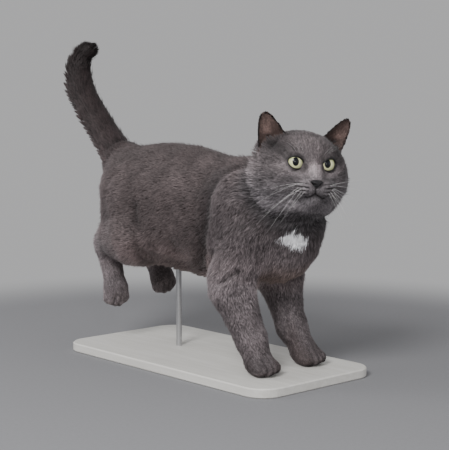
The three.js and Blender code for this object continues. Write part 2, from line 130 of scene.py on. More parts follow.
class Finish:
    """A material with one surface shader, and the method that adds any other node."""

    def __init__(self, name, **constants):
        self.material = bpy.data.materials.new(name)
        self.material.use_nodes = True
        self.nodes = self.material.node_tree.nodes
        self.surface = self.nodes["Principled BSDF"]
        self.shade(**constants)

    def put(self, socket, value):
        if isinstance(value, Value):
            self.material.node_tree.links.new(value.socket, socket)
        else:
            socket.default_value = value

    def node(self, kind, settings=None, inputs=None, output=0):
        """Adds one node: its settings first, then the values or links of its sockets."""
        made = self.nodes.new("ShaderNode" + kind)
        for key, value in (settings or {}).items():
            setattr(made, key, value)
        for key, value in (inputs or {}).items():
            self.put(made.inputs[key], value)
        return Value(self, made.outputs[output])

    def shade(self, **sockets):
        for name, value in sockets.items():
            self.put(self.surface.inputs[name.replace("_", " ")], value)
        return self.material

    def mix(self, share, low, high):
        """A colour from low to high."""
        ends = [(*c, 1) if isinstance(c, tuple) else c for c in (low, high)]
        return self.node("Mix", {"data_type": "RGBA"}, {0: share, 6: ends[0], 7: ends[1]}, output=2)

    def tinted(self, colour, share):
        """A colour made darker or lighter by a share."""
        return self.node("VectorMath", {"operation": "SCALE"}, {0: colour, "Scale": share})

    def own(self, name, output="Fac"):
        """A value or colour that the mesh carries."""
        return self.node("Attribute", {"attribute_name": name}, output=output)

    def place(self, scale=(1, 1, 1)):
        """Object coordinates, scaled."""
        found = self.node("TexCoord", output="Object")
        return self.node("Mapping", None, {"Vector": found, "Scale": scale})

    def grain(self, scale, detail=2.0, roughness=0.5, where=None):
        """Fine noise, over object coordinates unless other ones are given."""
        settings = {"Scale": scale, "Detail": detail, "Roughness": roughness}
        return self.node("TexNoise", None, {"Vector": where or self.place(), **settings})

    def bump(self, height, distance, strength):
        return self.node("Bump", None, {"Height": height, "Distance": distance, "Strength": strength})


# ------------ meshes

def shown(name, mesh, finish, replaced=(), body="root"):
    """An object that shows the mesh and rides on the cat's one body."""
    thing = bpy.data.objects.new(name, mesh)
    bpy.context.scene.collection.objects.link(thing)
    mesh.materials.append(finish)
    if body:
        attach(thing, body)
    if replaced:
        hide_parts(*replaced)
    return thing


def as_mesh(name, shape):
    """A finished bmesh as smooth mesh data, with the bmesh freed."""
    mesh = bpy.data.meshes.new(name)
    shape.to_mesh(mesh)
    shape.free()
    mesh.shade_smooth()
    return mesh


def evaluated(name, data, remesh_cell=None):
    """The mesh that an object with that data shows, remeshed in even quads where a cell size is given."""
    thing = bpy.data.objects.new(name, data)
    bpy.context.scene.collection.objects.link(thing)
    if remesh_cell:
        remesh = thing.modifiers.new("skin", "REMESH")
        remesh.mode, remesh.voxel_size = "VOXEL", remesh_cell * MM
    made = bpy.data.meshes.new_from_object(thing.evaluated_get(bpy.context.evaluated_depsgraph_get()))
    bpy.data.objects.remove(thing)
    return made


def read(items, key, width, kind=np.float32):
    """One row of numbers for each of a mesh's items."""
    found = np.empty(len(items) * width, kind)
    items.foreach_get(key, found)
    return found.reshape(-1, width)


def places(mesh):
    """The mesh's vertex positions, in millimetres."""
    return read(mesh.vertices, "co", 3).astype(float) / MM


def normals_of(mesh):
    return read(mesh.vertex_normals, "vector", 3).astype(float)


def edge_ends(mesh):
    return read(mesh.edges, "vertices", 2, np.int32)


def placed(mesh, points):
    mesh.vertices.foreach_set("co", (np.asarray(points) * MM).astype(np.float32).ravel())
    mesh.update()


def carried(mesh, name, values):
    """One number for each vertex, which materials can read by its name."""
    layer = mesh.attributes.new(name, "FLOAT", "POINT")
    layer.data.foreach_set("value", values.astype(np.float32))


# ------------ sums over points

def unit(vectors):
    return vectors / np.maximum(np.linalg.norm(vectors, axis=-1, keepdims=True), 1e-9)


def length_of(vectors):
    return np.linalg.norm(vectors, axis=1)


def blend(low, high, share):
    return low * (1 - share) + high * share


def fade(start, end, x):
    """Goes smoothly from 0 at the start to 1 at the end, which may lie on either side of it."""
    t = np.clip((x - start) / (end - start), 0, 1)
    return t * t * (3 - 2 * t)


def between(start, full, last, end, x):
    """1 from full to last, and 0 before the start and after the end."""
    return fade(start, full, x) * fade(end, last, x)


def bell(x, width):
    return np.exp(-((x / width) ** 2))


def toned(*terms):
    """One share of tone from pairs of a gain and the places where it holds."""
    return math.prod(1 + gain * where for gain, where in terms)


def mirrored(points):
    """The points as they would be on the cat's left."""
    return np.column_stack([abs(points[:, 0]), points[:, 1:]])


def relaxed(mesh, points, passes, weight, backward):
    """The points smoothed along the mesh's edges, each pass with a step back that keeps the volume."""
    ends = edge_ends(mesh)
    a, b = ends.T
    count = np.bincount(ends.ravel(), minlength=len(points))[:, None]
    for step in (0.5, backward) * passes:
        mean = np.stack([
            np.bincount(a, points[b, k], len(points)) + np.bincount(b, points[a, k], len(points))
            for k in range(3)
        ], 1) / count
        points = points + step * weight[:, None] * (mean - points)
    return points


def waves(points, span, seed, count=7):
    """Soft noise from -1 to 1 at each point, about that many millimetres from crest to crest."""
    made = np.random.default_rng(seed)
    ways = unit(made.normal(size=(count, 3))) * 2 * math.pi / span * made.uniform(0.7, 1.4, (count, 1))
    return np.sin(points @ ways.T + made.uniform(0, 6.3, count)).sum(1) / math.sqrt(count)


def nearest_on(points, route):
    """The nearest place on a route: its distance, how far along it is, and the rest and the way there."""
    best, along = np.full(len(points), 1e9), np.zeros(len(points))
    rest, ways, start = np.zeros_like(points), np.zeros_like(points), 0.0
    for a, b in zip(route[:-1], route[1:]):
        way = b - a
        t = np.clip(((points - a) @ way) / (way @ way), 0, 1)
        off = points - a - t[:, None] * way
        far, long = length_of(off), np.linalg.norm(way)
        nearer = far < best
        best[nearer], rest[nearer], ways[nearer] = far[nearer], off[nearer], way
        along[nearer] = start + t[nearer] * long
        start += long
    return best, along, rest, ways


class Place:
    """A frame of its own, from a middle and three axes."""

    def __init__(self, middle, *axes):
        self.middle, self.axes = middle, np.stack(axes)

    def into(self, points):
        return (points - self.middle) @ self.axes.T

    def out_of(self, own):
        return np.asarray(own, float) @ self.axes + self.middle


# ------------ the cat's frame

SIDES = {"left": np.array((1, 1, 1)), "right": np.array((-1, 1, 1))}  # and what mirrors the left to each
PAIRS = ("upper_arm", "forearm", "forepaw", "thigh", "shank", "hind_foot", "hind_paw", "ear")
FLESH = ["head", "neck", "trunk", "tail_root", "tail_middle", "tail_tip"]
FLESH += [f"{part}_{side}" for part in PAIRS for side in SIDES]

HEAD_STANCE = Matrix.Identity(3)
for turn, axis in ((-25, "Z"), (1.5, "X"), (4.7, "Y")):
    HEAD_STANCE = HEAD_STANCE @ Matrix.Rotation(math.radians(turn), 3, axis)
HEAD = Place(np.array((-7.0, -170.0, 268.0)), *np.array(HEAD_STANCE).T)
to_head, from_head = HEAD.into, HEAD.out_of  # the head's frame: x to its left, -y out of its face, z up


def node_middle(node):
    low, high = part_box(node)
    return np.array(low + high) / 2 / MM


def node_tree(*nodes):
    """A search tree over CAD nodes, for distances to them."""
    shape = bmesh.new()
    for node in nodes:
        shape.from_mesh(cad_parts[node].data)
    tree = BVHTree.FromBMesh(shape)
    shape.free()
    return tree


# ------------ the lie of the coat

# Where the coat changes, on the cat's left and mirrored to its right:
# from, to, lie of the hair, hair length, coat depth, and the coat piece.
GROWTH = (
    ((0, -95, 278), (0, -40, 285), (0, 1, 0.0), 11, 3.6, "back"),
    ((0, 0, 288), (0, 120, 288), (0, 1, -0.05), 9, 3.2, "back"),
    ((0, 150, 284), (0, 180, 270), (0, 1, -0.3), 11, 3.6, "back"),
    ((52, -30, 255), (50, 130, 255), (0, 1, -0.3), 7.8, 3.1, "back"),
    ((68, -30, 205), (60, 110, 200), (0, 1, -0.45), 7.8, 3.2, "flank"),
    ((62, -20, 150), (58, 100, 150), (0, 1, -0.6), 8.5, 3.5, "flank"),
    ((0, -60, 112), (0, 140, 128), (0, 1, -0.22), 13, 5.5, "belly"),
    ((34, -30, 120), (34, 110, 128), (0, 1, -0.28), 12.5, 5.0, "belly"),
    ((0, 206, 250), (0, 206, 190), (0, 0.25, -1), 12, 4.6, "rump"),
    ((30, 196, 240), (32, 196, 180), (0, 0.4, -1), 11, 4.2, "rump"),
    ((0, -150, 232), (0, -184, 200), (0, -0.1, -1), 10, 4.4, "chest"),
    ((0, -184, 180), (0, -165, 130), (0, 0.25, -1), 11, 5.0, "chest"),
    ((42, -165, 195), (44, -150, 140), (0.4, 0.2, -1), 9, 4.2, "chest"),
    ((0, -130, 112), (0, -100, 110), (0, 0.9, -0.4), 13, 5.2, "belly"),
    ((56, -128, 258), (60, -115, 235), (0.1, 0.8, -0.6), 10, 4.2, "neck"),
    ((0, -110, 284), (24, -110, 280), (0, 1, -0.1), 10, 4.0, "neck"),
    ((52, -145, 225), (56, -130, 205), (0.1, 0.35, -1), 9, 4.2, "neck"),
    ((68, -95, 222), (72, -85, 170), (0, 0.42, -0.9), 7.8, 3.4, "shoulder"),
    ((70, -100, 150), (68, -90, 125), (0, 0.18, -1), 7.5, 3.2, "shoulder"),
    ((66, -58, 215), (66, -50, 180), (0, 0.75, -0.6), 7.8, 3.3, "shoulder"),
    ((66, 165, 215), (66, 150, 160), (0, 0.45, -0.9), 8, 3.3, "thigh"),
    ((56, 190, 205), (56, 190, 165), (0, 0.3, -1), 11, 4.2, "thigh"),
    ((50, 110, 140), (50, 130, 128), (0, 0.6, -0.8), 12, 4.6, "thigh"),
)
BODY_THICK = 2
FORELEGS = {
    "left": ((42, -114, 179), (48, -76, 123), (42, -106, 58), (43, -132, 25), (43, -152, 22)),
    "right": ((42, -114, 179), (50, -89, 121), (45, -123, 54), (43, -137, 25), (43, -157, 22)),
}
HINDLEGS = {
    "left": ((51, 102, 157), (42, 198, 145), (56, 166, 78)),
    "right": ((51, 102, 157), (44, 173, 148), (46, 148, 72)),
}
TAIL = np.array([
    (0, 172, 243), (0, 205, 271), (1, 238, 301), (2, 269, 330),
    (2, 294, 359), (3, 304, 391), (4, 294, 414), (10, 272, 422),
], float)
# Down each limb and on the tail: half its thickness, hair length, coat depth and share of smoothing.
FORELEG_GROWTH = ((26, 7.5, 3.8, 0.9), (21, 6.5, 3.3, 0.8), (16, 4.8, 2.1, 0.6), (12, 3.6, 1.2, 0.35))
HINDLEG_GROWTH = ((24, 8.0, 3.6, 0.9), (15, 5.5, 1.9, 0.6), (15, 3.8, 1.3, 0.35))
TAIL_GROWTH = (15, 13.0, 4.6, 0.8)


def growth_rows():
    """Every stretch of coat: the mirrored ones, the legs and the tail, whose hair runs along them."""
    rows = []
    for start, end, lie, *sizes, piece in GROWTH:
        for flip in SIDES.values():
            rows.append((start * flip, end * flip, BODY_THICK, *sizes, 1.0, piece, lie * flip))
    for side, flip in SIDES.items():
        route = np.array(FORELEGS[side], float) * flip
        for *ends, growth in zip(route[:-1], route[1:], FORELEG_GROWTH):
            rows.append((*ends, *growth, "foreleg"))
        knee, hock, foot = np.array(HINDLEGS[side], float) * flip
        ends = ((knee, hock), (hock, blend(hock, foot, 0.65)), (blend(hock, foot, 0.75), foot))
        rows += [(*pair, *growth, "hindleg") for pair, growth in zip(ends, HINDLEG_GROWTH)]
    rows += [(start, end, *TAIL_GROWTH, "tail") for start, end in zip(TAIL[:-1], TAIL[1:])]
    return [row if len(row) == 8 else (*row, row[1] - row[0]) for row in rows]


TAIL_BACK = unit(np.array((-0.25, 0.75, -0.6)))  # the side of the tail that its fringe stands out on


def tail_places(points):
    """How far up the tail each point is, how far from its line, and its share of the tail's fringe."""
    far, along, rest, _ = nearest_on(points, TAIL)
    side = rest @ TAIL_BACK / np.maximum(far, 1)
    return along, far, fade(0.0, 0.7, side) * between(-2, 18, 225, 262, along) * (far < 40)


ROWS = growth_rows()
COAT_PIECES = sorted({row[6] for row in ROWS})
GROWTH_BLEND = 6  # how softly one stretch of coat goes over into the next
NOSE, SKULL = np.array((0, -58, -14)), np.array((0, 4, -6))
FACE_LENGTHS = (10, 20, 40, 62, 85), (2.2, 3.0, 5.0, 7.6, 9.6)  # distance from the nose, and hair length
FACE_DEPTHS = (20, 60), (0.3, 0.36)  # the same, and coat depth as a share of the length
FACE_SMOOTHING = (20, 45, 70), (0.25, 0.4, 0.9)
SHORTEST, EAR_DEPTH, EAR_LIE = 2.2, 0.3, unit(np.array((0.45, -0.05, 1.0)))


def body_coat(points):
    """The lie, hair length, coat depth, share of smoothing and piece of the coat behind the head."""
    total, sums = np.zeros((len(points), 1)), np.zeros((len(points), 6))
    best, piece = np.zeros(len(points)), np.zeros(len(points), int)
    for start, end, thick, length, depth, smoothing, name, lie in ROWS:
        gap = np.maximum(nearest_on(points, (start, end))[0] - thick, 0)
        weight = (1 / (gap**2 + GROWTH_BLEND**2) ** 2)[:, None]
        sums += weight * np.array((*unit(lie), length, depth, smoothing))
        total += weight
        nearer = weight[:, 0] > best
        best[nearer], piece[nearer] = weight[nearer, 0], COAT_PIECES.index(name)
    return unit(sums[:, :3]), *(sums[:, 3:] / total).T, piece


def head_coat(head, ear):
    """The lie, hair length, coat depth and share of smoothing of the coat on the head."""
    out = head - NOSE
    away = length_of(out)
    lie = unit(out + np.array((0, 0.4, 0)) * away[:, None])
    length = np.interp(away, *FACE_LENGTHS) * (1 - 0.35 * fade(12, 30, head[:, 2]))
    for eye in EYES:
        own = eye.into(head)
        near = fade(2.6, 1.3, eye.spread(own)) * (head[:, 1] < -8)
        length = blend(length, SHORTEST, near)
        lie = lie + 1.6 * near[:, None] * (unit(own * (1, 1, 0)) @ eye.axes)
    ruff = bell(ruff_gap(head) + 3, 8) * ruff_share(head)
    length = length * (1 + 0.1 * ruff)
    depth = length * (np.interp(away, *FACE_DEPTHS) + 0.07 * ruff)
    ear_lie = EAR_LIE * np.where(head[:, :1] < 0, (-1, 1, 1), 1)
    wisp = bell(abs(head[:, 0]) - 36, 7) * bell(head[:, 2] - 29, 4) * (head[:, 1] < 12)
    return (
        unit(blend(lie, ear_lie, ear[:, None])), blend(length, SHORTEST, ear) + 6 * wisp,
        blend(depth, EAR_DEPTH, ear), np.interp(away, *FACE_SMOOTHING) * (1 - 0.6 * ear),
    )


def coat_at(points, ear):
    """The coat at each point of the cat: its lie, hair length, depth, share of smoothing and piece."""
    *body, piece = body_coat(points)
    fringe = tail_places(points)[2] * (piece == COAT_PIECES.index("tail"))
    body[2] = body[2] * (1 + 0.6 * fringe)
    head = to_head(points)
    share = np.maximum(fade(84, 62, length_of(head - SKULL)), ear)
    lie, *sizes = head_coat(head, ear)
    lie = unit(blend(body[0], lie @ HEAD.axes, share[:, None]))
    length, depth, smoothing = (blend(a, b, share) for a, b in zip(body[1:], sizes))
    return {
        "lie": lie, "length": length, "depth": depth, "smoothing": smoothing,
        "head": share, "fringe": fringe, "piece": piece,
    }


# ------------ feet

TOE_SPACING, TOE_REACH, PAW_REACH = 8.5, 17, 14
TOES = (-1.5, -0.5, 0.5, 1.5)
CLEFTS = (-1, 0, 1)
TOE_ROOM = np.array((20, 15, 16))  # half the room round the toes, from their middle


def foot_place(middle, forward, down):
    """A foot's own frame: aside, forward to the toes and down to the sole, from the middle of the paw."""
    return Place(middle, unit(np.cross(forward, down)), forward, down)


def toe_end(place):
    """The middle of the round end of one toe, in the foot's frame."""
    return np.array((place * TOE_SPACING, TOE_REACH - 4 * abs(place), 3.0))


FEET = []  # a forefoot and a hind foot on the left, and then on the right
for side, flip in SIDES.items():
    FEET.append(foot_place(FORELEGS[side][3] * flip, np.array((0, -1.0, 0)), np.array((0, 0, -1.0))))
    hock, toes = (np.array(p, float) * flip for p in HINDLEGS[side][1:])
    forward = unit(toes - hock)
    sole = unit(np.array((0, 1.0, 0)) - forward * forward[1])
    FEET.append(foot_place(toes - PAW_REACH * forward, forward, sole))
HIND_FEET = FEET[1::2]


def cleft_share(points):
    """1 in the clefts between the toes and 0 elsewhere, and which points are on the toes."""
    share, on_toes = np.zeros(len(points)), np.zeros(len(points), bool)
    for foot in FEET:
        own = foot.into(points)
        near = (abs(own - (0, TOE_REACH, 0)) < TOE_ROOM).all(1)
        for cleft in CLEFTS:
            middle = cleft * TOE_SPACING * np.interp(own[:, 1], (0, TOE_REACH), (0.8, 1.0))
            share = np.maximum(share, fade(3, 13, own[:, 1]) * near * bell(own[:, 0] - middle, 1.3))
        on_toes |= near
    return share, on_toes


# ------------ eye openings

EYE_RADIUS = 11.0
EYE_OUTWARD, EYE_UPWARD = math.radians(10), math.radians(3)
LID_HALF_WIDTH, LID_RISE, LID_FALL, LID_SLANT, LID_INSET = 9.8, 7.4, 7.5, 0.13, 0.1
LID_WALL, SOCKET_FLOOR = 12.0, 9.6


class Eye(Place):
    """One eye's own frame, in the head's frame: across is outwards, up is up, ahead is out of the face."""

    def __init__(self, side):
        self.side, sign = side, SIDES[side][0]
        ahead = np.array(heading(sign * EYE_OUTWARD, EYE_UPWARD))
        across = unit(np.cross((0, 0, 1.0), ahead)) * sign
        up = unit(np.cross(ahead, across)) * sign
        super().__init__(to_head(node_middle(f"eye_{side}")), across, up, ahead)

    def spread(self, own):
        """How far out from the middle of the opening, with 1 on the edge of the lids."""
        across, up = own[:, 0], own[:, 1] - LID_SLANT * own[:, 0]
        return np.hypot(across / LID_HALF_WIDTH, up / np.where(up > 0, LID_RISE, LID_FALL))


EYES = [Eye(side) for side in SIDES]


def with_lids(head):
    """The face's points drawn round each eyeball, and sunk behind it within the opening."""
    for eye in EYES:
        own = eye.into(head)
        away = length_of(own)
        spread = eye.spread(own * (LID_WALL / away)[:, None])
        wall = SOCKET_FLOOR + (LID_WALL - SOCKET_FLOOR) * fade(0.9, 1.02, spread)
        wall = wall + 0.5 * bell(spread - 1.25, 0.22)
        share = fade(2.3, 1.3, eye.spread(own)) * fade(-6, 0, own[:, 2])
        over = (spread > 1.0) * fade(-9, -3, own[:, 2]) * (away < 16)
        wanted = np.maximum(away + share * (wall - away), (LID_WALL - 0.1) * over)
        head = eye.out_of(own * (wanted / away)[:, None])
    return head


# ------------ mouth and muzzle

MOUTH = np.array([
    (0, -26.5), (1.6, -27.4), (3.4, -28.8), (5.4, -30.0), (7.5, -30.7), (9.4, -30.6), (11.0, -29.9),
])
PHILTRUM = np.array([(0, -19.0), (0, -26.5)])
NOSE_SEAT = (-22, -18, -12, -6, 0), (-53.5, -54.8, -55.8, -54.3, -51.5)  # height, and Y of the skin there


def muzzle_gaps(head):
    """Distances to the mouth line and the groove over it, and the height over the mouth line."""
    flat = np.stack([abs(head[:, 0]), head[:, 2]], 1)
    mouth, _, rest, _ = nearest_on(flat, MOUTH)
    behind = np.where(head[:, 1] > -32, 50.0, 0.0)
    return mouth + behind, rest[:, 1], nearest_on(flat, PHILTRUM)[0] + behind


def with_mouth(head, normals):
    """The muzzle shaped into whisker pads, chin, lips, the groove under the nose and the nose's seat."""
    mouth, above, philtrum = muzzle_gaps(head)
    aside, up = abs(head[:, 0]), head[:, 2]
    front = fade(-22, -34, head[:, 1])
    pads = 2.6 * bell(aside - 14.5, 11) * bell(up + 20.5, 7)
    pads += 1.2 * bell(mouth - 4.0, 3.2) * (above > 0) * fade(0.5, 4, aside)
    under = 1.2 * bell(aside, 9) * bell(up + 39, 6) - 1.2 * bell(mouth - 1.2, 2.6) * (above <= 0)
    groove = -1.7 * bell(mouth, 0.95) - 1.5 * bell(philtrum, 1.1)
    head = head + normals * ((pads + under + groove) * front)[:, None]
    seat = fade(1.5, 1.0, np.hypot(head[:, 0] / 9.5, (head[:, 2] + 14) / 7.5)) * front
    level = np.interp(head[:, 2], *NOSE_SEAT) + head[:, 0] ** 2 / 34
    head[:, 1] += seat * np.minimum(level - head[:, 1], 0)
    return head


# ------------ ruff and folds

RUFF = np.array([  # the edge of the cheeks' fur from the side: Y and height
    (30, 26), (22, 10), (16, -11), (7, -28), (3, -41), (-3, -50), (-14, -55), (-26, -56), (-40, -50),
])
SHOULDER_EDGE = (  # height, and Y of the shoulder's back edge
    (138, 163, 185, 210, 232, 248, 260, 268, 276),
    (-38, -52, -63, -68, -73, -80, -93, -106, -120),
)
ELBOW_FOLD = np.array([(80, -100, 126), (75, -110, 133), (67, -121, 143)])
ELBOW_POINT, ELBOW_HOLLOW = (78, -72, 118), (65, -115, 120)
THIGH_EDGE = np.array([(70, 77, 208), (71, 76, 190), (71, 74, 173), (67, 70, 154), (60, 72, 140)])
HAM = np.array([(66, 156, 166), (71, 140, 153), (72, 128, 145)])  # between the shank and the thigh


def ruff_gap(head):
    """How far each point is behind or under the edge of the ruff, and negative in front of it."""
    far, _, rest, way = nearest_on(head[:, 1:], RUFF)
    return far * np.sign(rest[:, 1] * way[:, 0] - rest[:, 0] * way[:, 1])


def ruff_share(head):
    """1 where the ruff has an edge: the sides and underside of the head."""
    return fade(26, 8, head[:, 2]) * fade(85, 70, length_of(head))


def shoulder_gap(points):
    """How far each point is behind the back edge of its shoulder, and 1 where there is one."""
    x, y, z = points.T
    return y - np.interp(z, *SHOULDER_EDGE), fade(20, 40, abs(x)) * between(122, 142, 262, 278, z)


def side_gap(own, route):
    """Each point's distance to a route as seen from the cat's side, and far off on the inner sides."""
    return nearest_on(own[:, 1:], route[:, 1:])[0] + 50 * (own[:, 0] < 45)


def with_folds(points, normals):
    """The coat's skin raised at the edge of the ruff and sunk behind it and in the folds."""
    head, own = to_head(points), mirrored(points)
    gap, share = ruff_gap(head), ruff_share(head)
    behind, beside = shoulder_gap(points)
    rise = share * (3.0 * bell(gap + 5, 7) - 4.0 * bell(gap - 9, 7))
    rise += beside * (1.8 * bell(behind + 10, 11) - 3.6 * bell(behind - 8, 11))
    rise -= 3.2 * bell(side_gap(own, ELBOW_FOLD), 4) + 4.5 * bell(length_of(own - ELBOW_POINT), 19)
    rise += 5.0 * bell(nearest_on(own, HAM)[0], 11) - 2.5 * bell(side_gap(own, THIGH_EDGE), 7)
    return points + normals * rise[:, None]


# ------------ skin

SKIN_CELL = 2.6
SEAM_GROW, EAR_GROW, EAR_COAT = 0.5, 1.5, 0.5
EAR_TREE = node_tree("ear_left", "ear_right")


def flesh_shell():
    """The flesh parts grown a little so that they join, with the eye sockets filled, as one mesh."""
    shell = bmesh.new()
    for eye in EYES:
        middle = Matrix.Translation(Vector(from_head(eye.middle) * MM))
        bmesh.ops.create_icosphere(shell, subdivisions=4, radius=(LID_WALL - 0.5) * MM, matrix=middle)
    for node in FLESH:
        part = bmesh.new()
        part.from_mesh(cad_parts[node].data)
        bmesh.ops.remove_doubles(part, verts=part.verts, dist=0.01 * MM)
        part.normal_update()
        grow = (EAR_GROW if node.startswith("ear") else SEAM_GROW) * MM
        for vertex in part.verts:
            vertex.co += vertex.normal * grow
        piece = as_mesh("part", part)
        shell.from_mesh(piece)
        bpy.data.meshes.remove(piece)
    return as_mesh("shell", shell)


def finer(mesh, chosen):
    """The mesh with every edge split whose two ends are chosen."""
    shape = bmesh.new()
    shape.from_mesh(mesh)
    edges = [edge for edge in shape.edges if all(chosen[vertex.index] for vertex in edge.verts)]
    bmesh.ops.subdivide_edges(shape, edges=edges, cuts=1, use_grid_fill=True)
    shape.to_mesh(mesh)
    shape.free()


def ear_share(points):
    """1 on the ears and 0 on the rest."""
    share, head = np.zeros(len(points)), to_head(points)
    for i in np.nonzero((head[:, 2] > 12) & (abs(head[:, 0]) > 18) & (head[:, 2] < 70))[0]:
        found = EAR_TREE.find_nearest(points[i] * MM, 8 * MM)
        if found[0] is not None:
            share[i] = 1 - min(1, found[3] / MM / 4)
    return fade(0.15, 0.6, share)


def thinned_ears(points, ear):
    """The ears' points drawn onto the ears' own thin shells."""
    for i in np.nonzero(ear > 0)[0]:
        found = EAR_TREE.find_nearest(points[i] * MM)
        target = np.array(found[0] - found[1] * EAR_COAT * MM) / MM
        points[i] += ear[i] * (target - points[i])
    return points


def face_zones(head):
    """Which points are on the face, and which are by the eyes, nose and mouth."""
    face = (head[:, 1] < 4) & (abs(head[:, 0]) < 48) & (head[:, 2] > -50) & (head[:, 2] < 36)
    close = length_of((head - (0, -50, -24)) / (21, 18, 15)) < 1
    for eye in EYES:
        close |= (eye.spread(eye.into(head)) < 1.9) & (head[:, 1] < -12)
    return face, close & face


def skin_mesh():
    """The whole skin, inside its coat: remeshed, evened, sunk, and then shaped at the face and ears."""
    mesh = evaluated("remesh", flesh_shell(), SKIN_CELL)
    points = places(mesh)
    ear = ear_share(points)
    points = relaxed(mesh, points, 45, coat_at(points, ear)["smoothing"], -0.52)
    placed(mesh, points)
    points = with_folds(points, normals_of(mesh))
    points = points - normals_of(mesh) * (coat_at(points, ear)["depth"] * (1 - ear))[:, None]
    placed(mesh, points)
    finer(mesh, face_zones(to_head(points))[0] | (ear > 0.02) | cleft_share(points)[1])
    points = places(mesh)
    ear = ear_share(points)
    face, close = face_zones(to_head(points))
    points = relaxed(mesh, points, 6, np.maximum(face, ear > 0) * 0.9, -0.3)
    points = relaxed(mesh, thinned_ears(points, ear), 2, (ear > 0) * 0.8, -0.3)
    placed(mesh, points)
    finer(mesh, close)
    points = places(mesh)
    points = relaxed(mesh, points, 4, face_zones(to_head(points))[1] * 0.9, -0.3)
    placed(mesh, points)
    points = points - normals_of(mesh) * 1.3 * cleft_share(points)[0][:, None]
    placed(mesh, from_head(with_lids(with_mouth(to_head(points), normals_of(mesh) @ HEAD.axes.T))))
    mesh.shade_smooth()
    return mesh


# ------------ coat

TUFTS_A_PIECE = 33000
PATCH = 0.0015  # half the width of a tuft's place on the coat's flat map
EYE_CLEAR, LIP_CLEAR, GROOVE_CLEAR = 1.12, 1.0, 0.7
NOSE_MIDDLE, NOSE_HALF = (0, -55, -15.6), (7.6, 8, 4.8)
GUARD_SHARE = 0.09  # how many tufts are long ones that stand up
CLUMP_CELL, LOCK_CELL = 2.6, 7.0
CLUMPING = (3, 6, 9, 13), (0.15, 0.25, 0.25, 0.45)  # hair length, and how much tufts lean together
HALF_WIDTHS = (2.2, 4, 7, 13), (0.32, 0.42, 0.48, 0.58)  # hair length, and a tuft's half width
ROOT_DEPTH = 0.7
LOCKED, SMOOTH = ("chest", "belly", "rump"), ("flank", "back", "thigh", "shoulder")


def roots_on(mesh, share, made):
    """One point at random in each of the mesh's triangles, more or fewer by its share, and its normal."""
    mesh.calc_loop_triangles()
    corners = read(mesh.loop_triangles, "vertices", 3, np.int32)
    points, normals = places(mesh), normals_of(mesh)
    wanted = share(points[corners].mean(1))
    corners = np.repeat(corners, np.floor(wanted + made.random(len(wanted))).astype(int), 0)
    split = made.dirichlet((1, 1, 1), len(corners))[:, :, None]
    return (points[corners] * split).sum(1), unit((normals[corners] * split).sum(1))


def tuft_share(points):
    """How many tufts each of the skin's triangles gets: the face's are small and need fewer."""
    head = fade(80, 60, length_of(to_head(points)))
    return 1.6 - 0.86 * head - 0.6 * cleft_share(points)[1] + 0.8 * tail_places(points)[2]


def cells_of(roots, cell):
    """The number of the small cell of the coat that each root is in."""
    warp = np.stack([waves(roots, 40, seed) for seed in (11, 12, 13)], 1) * 4
    key = np.floor((roots + warp) / cell).astype(np.int64) + 4096
    return np.unique(key[:, 0] * 67108864 + key[:, 1] * 8192 + key[:, 2], return_inverse=True)[1]


def by_cell(roots, cell, seed):
    """One random number from 0 to 1 for each cell."""
    group = cells_of(roots, cell)
    return np.random.default_rng(seed).random(group.max() + 1)[group]


def clumped(points, roots, cell, pull, weight=None):
    """Points drawn towards the middle of the others in the same cell of the coat."""
    group = cells_of(roots, cell)
    total = np.bincount(group, weight)[group][:, None]
    sums = [np.bincount(group, row if weight is None else row * weight)[group] for row in points.T]
    return points + pull[:, None] * (np.stack(sums, 1) / total - points)


def bare_skin(roots):
    """Which roots would be on the eyes, the lips, the groove under the nose or the nose."""
    head = to_head(roots)
    mouth, _, philtrum = muzzle_gaps(head)
    bare = (mouth < LIP_CLEAR) | (philtrum < GROOVE_CLEAR)
    bare |= length_of((head - NOSE_MIDDLE) / NOSE_HALF) < 1
    for eye in EYES:
        bare |= (eye.spread(eye.into(head)) < EYE_CLEAR) & (head[:, 1] < -12)
    return bare


def tuft_tones(roots, names, body, made):
    """Each tuft's own tone from 0, dark, to 1, pale. Small neighbours share most of it."""
    fine = np.where(body < 0.5, by_cell(roots, 1.5, 6), by_cell(roots, 1.4, 7))
    tone = 0.35 * made.random(len(roots)) + 0.65 * fine
    smooth = np.isin(names, SMOOTH)
    tone = tone * (1 - (0.45 - 0.2 * smooth) * (by_cell(roots, 1.8, 9) > 0.84) * body)
    chest = fade(-60, -110, roots[:, 1]) * fade(85, 120, roots[:, 2]) * body
    tone = np.clip(0.5 + (tone - 0.5) * (1 + 0.35 * chest - 0.25 * smooth), 0, 1)
    return tone + 0.8 * locket_share(roots) * (0.9 - tone)


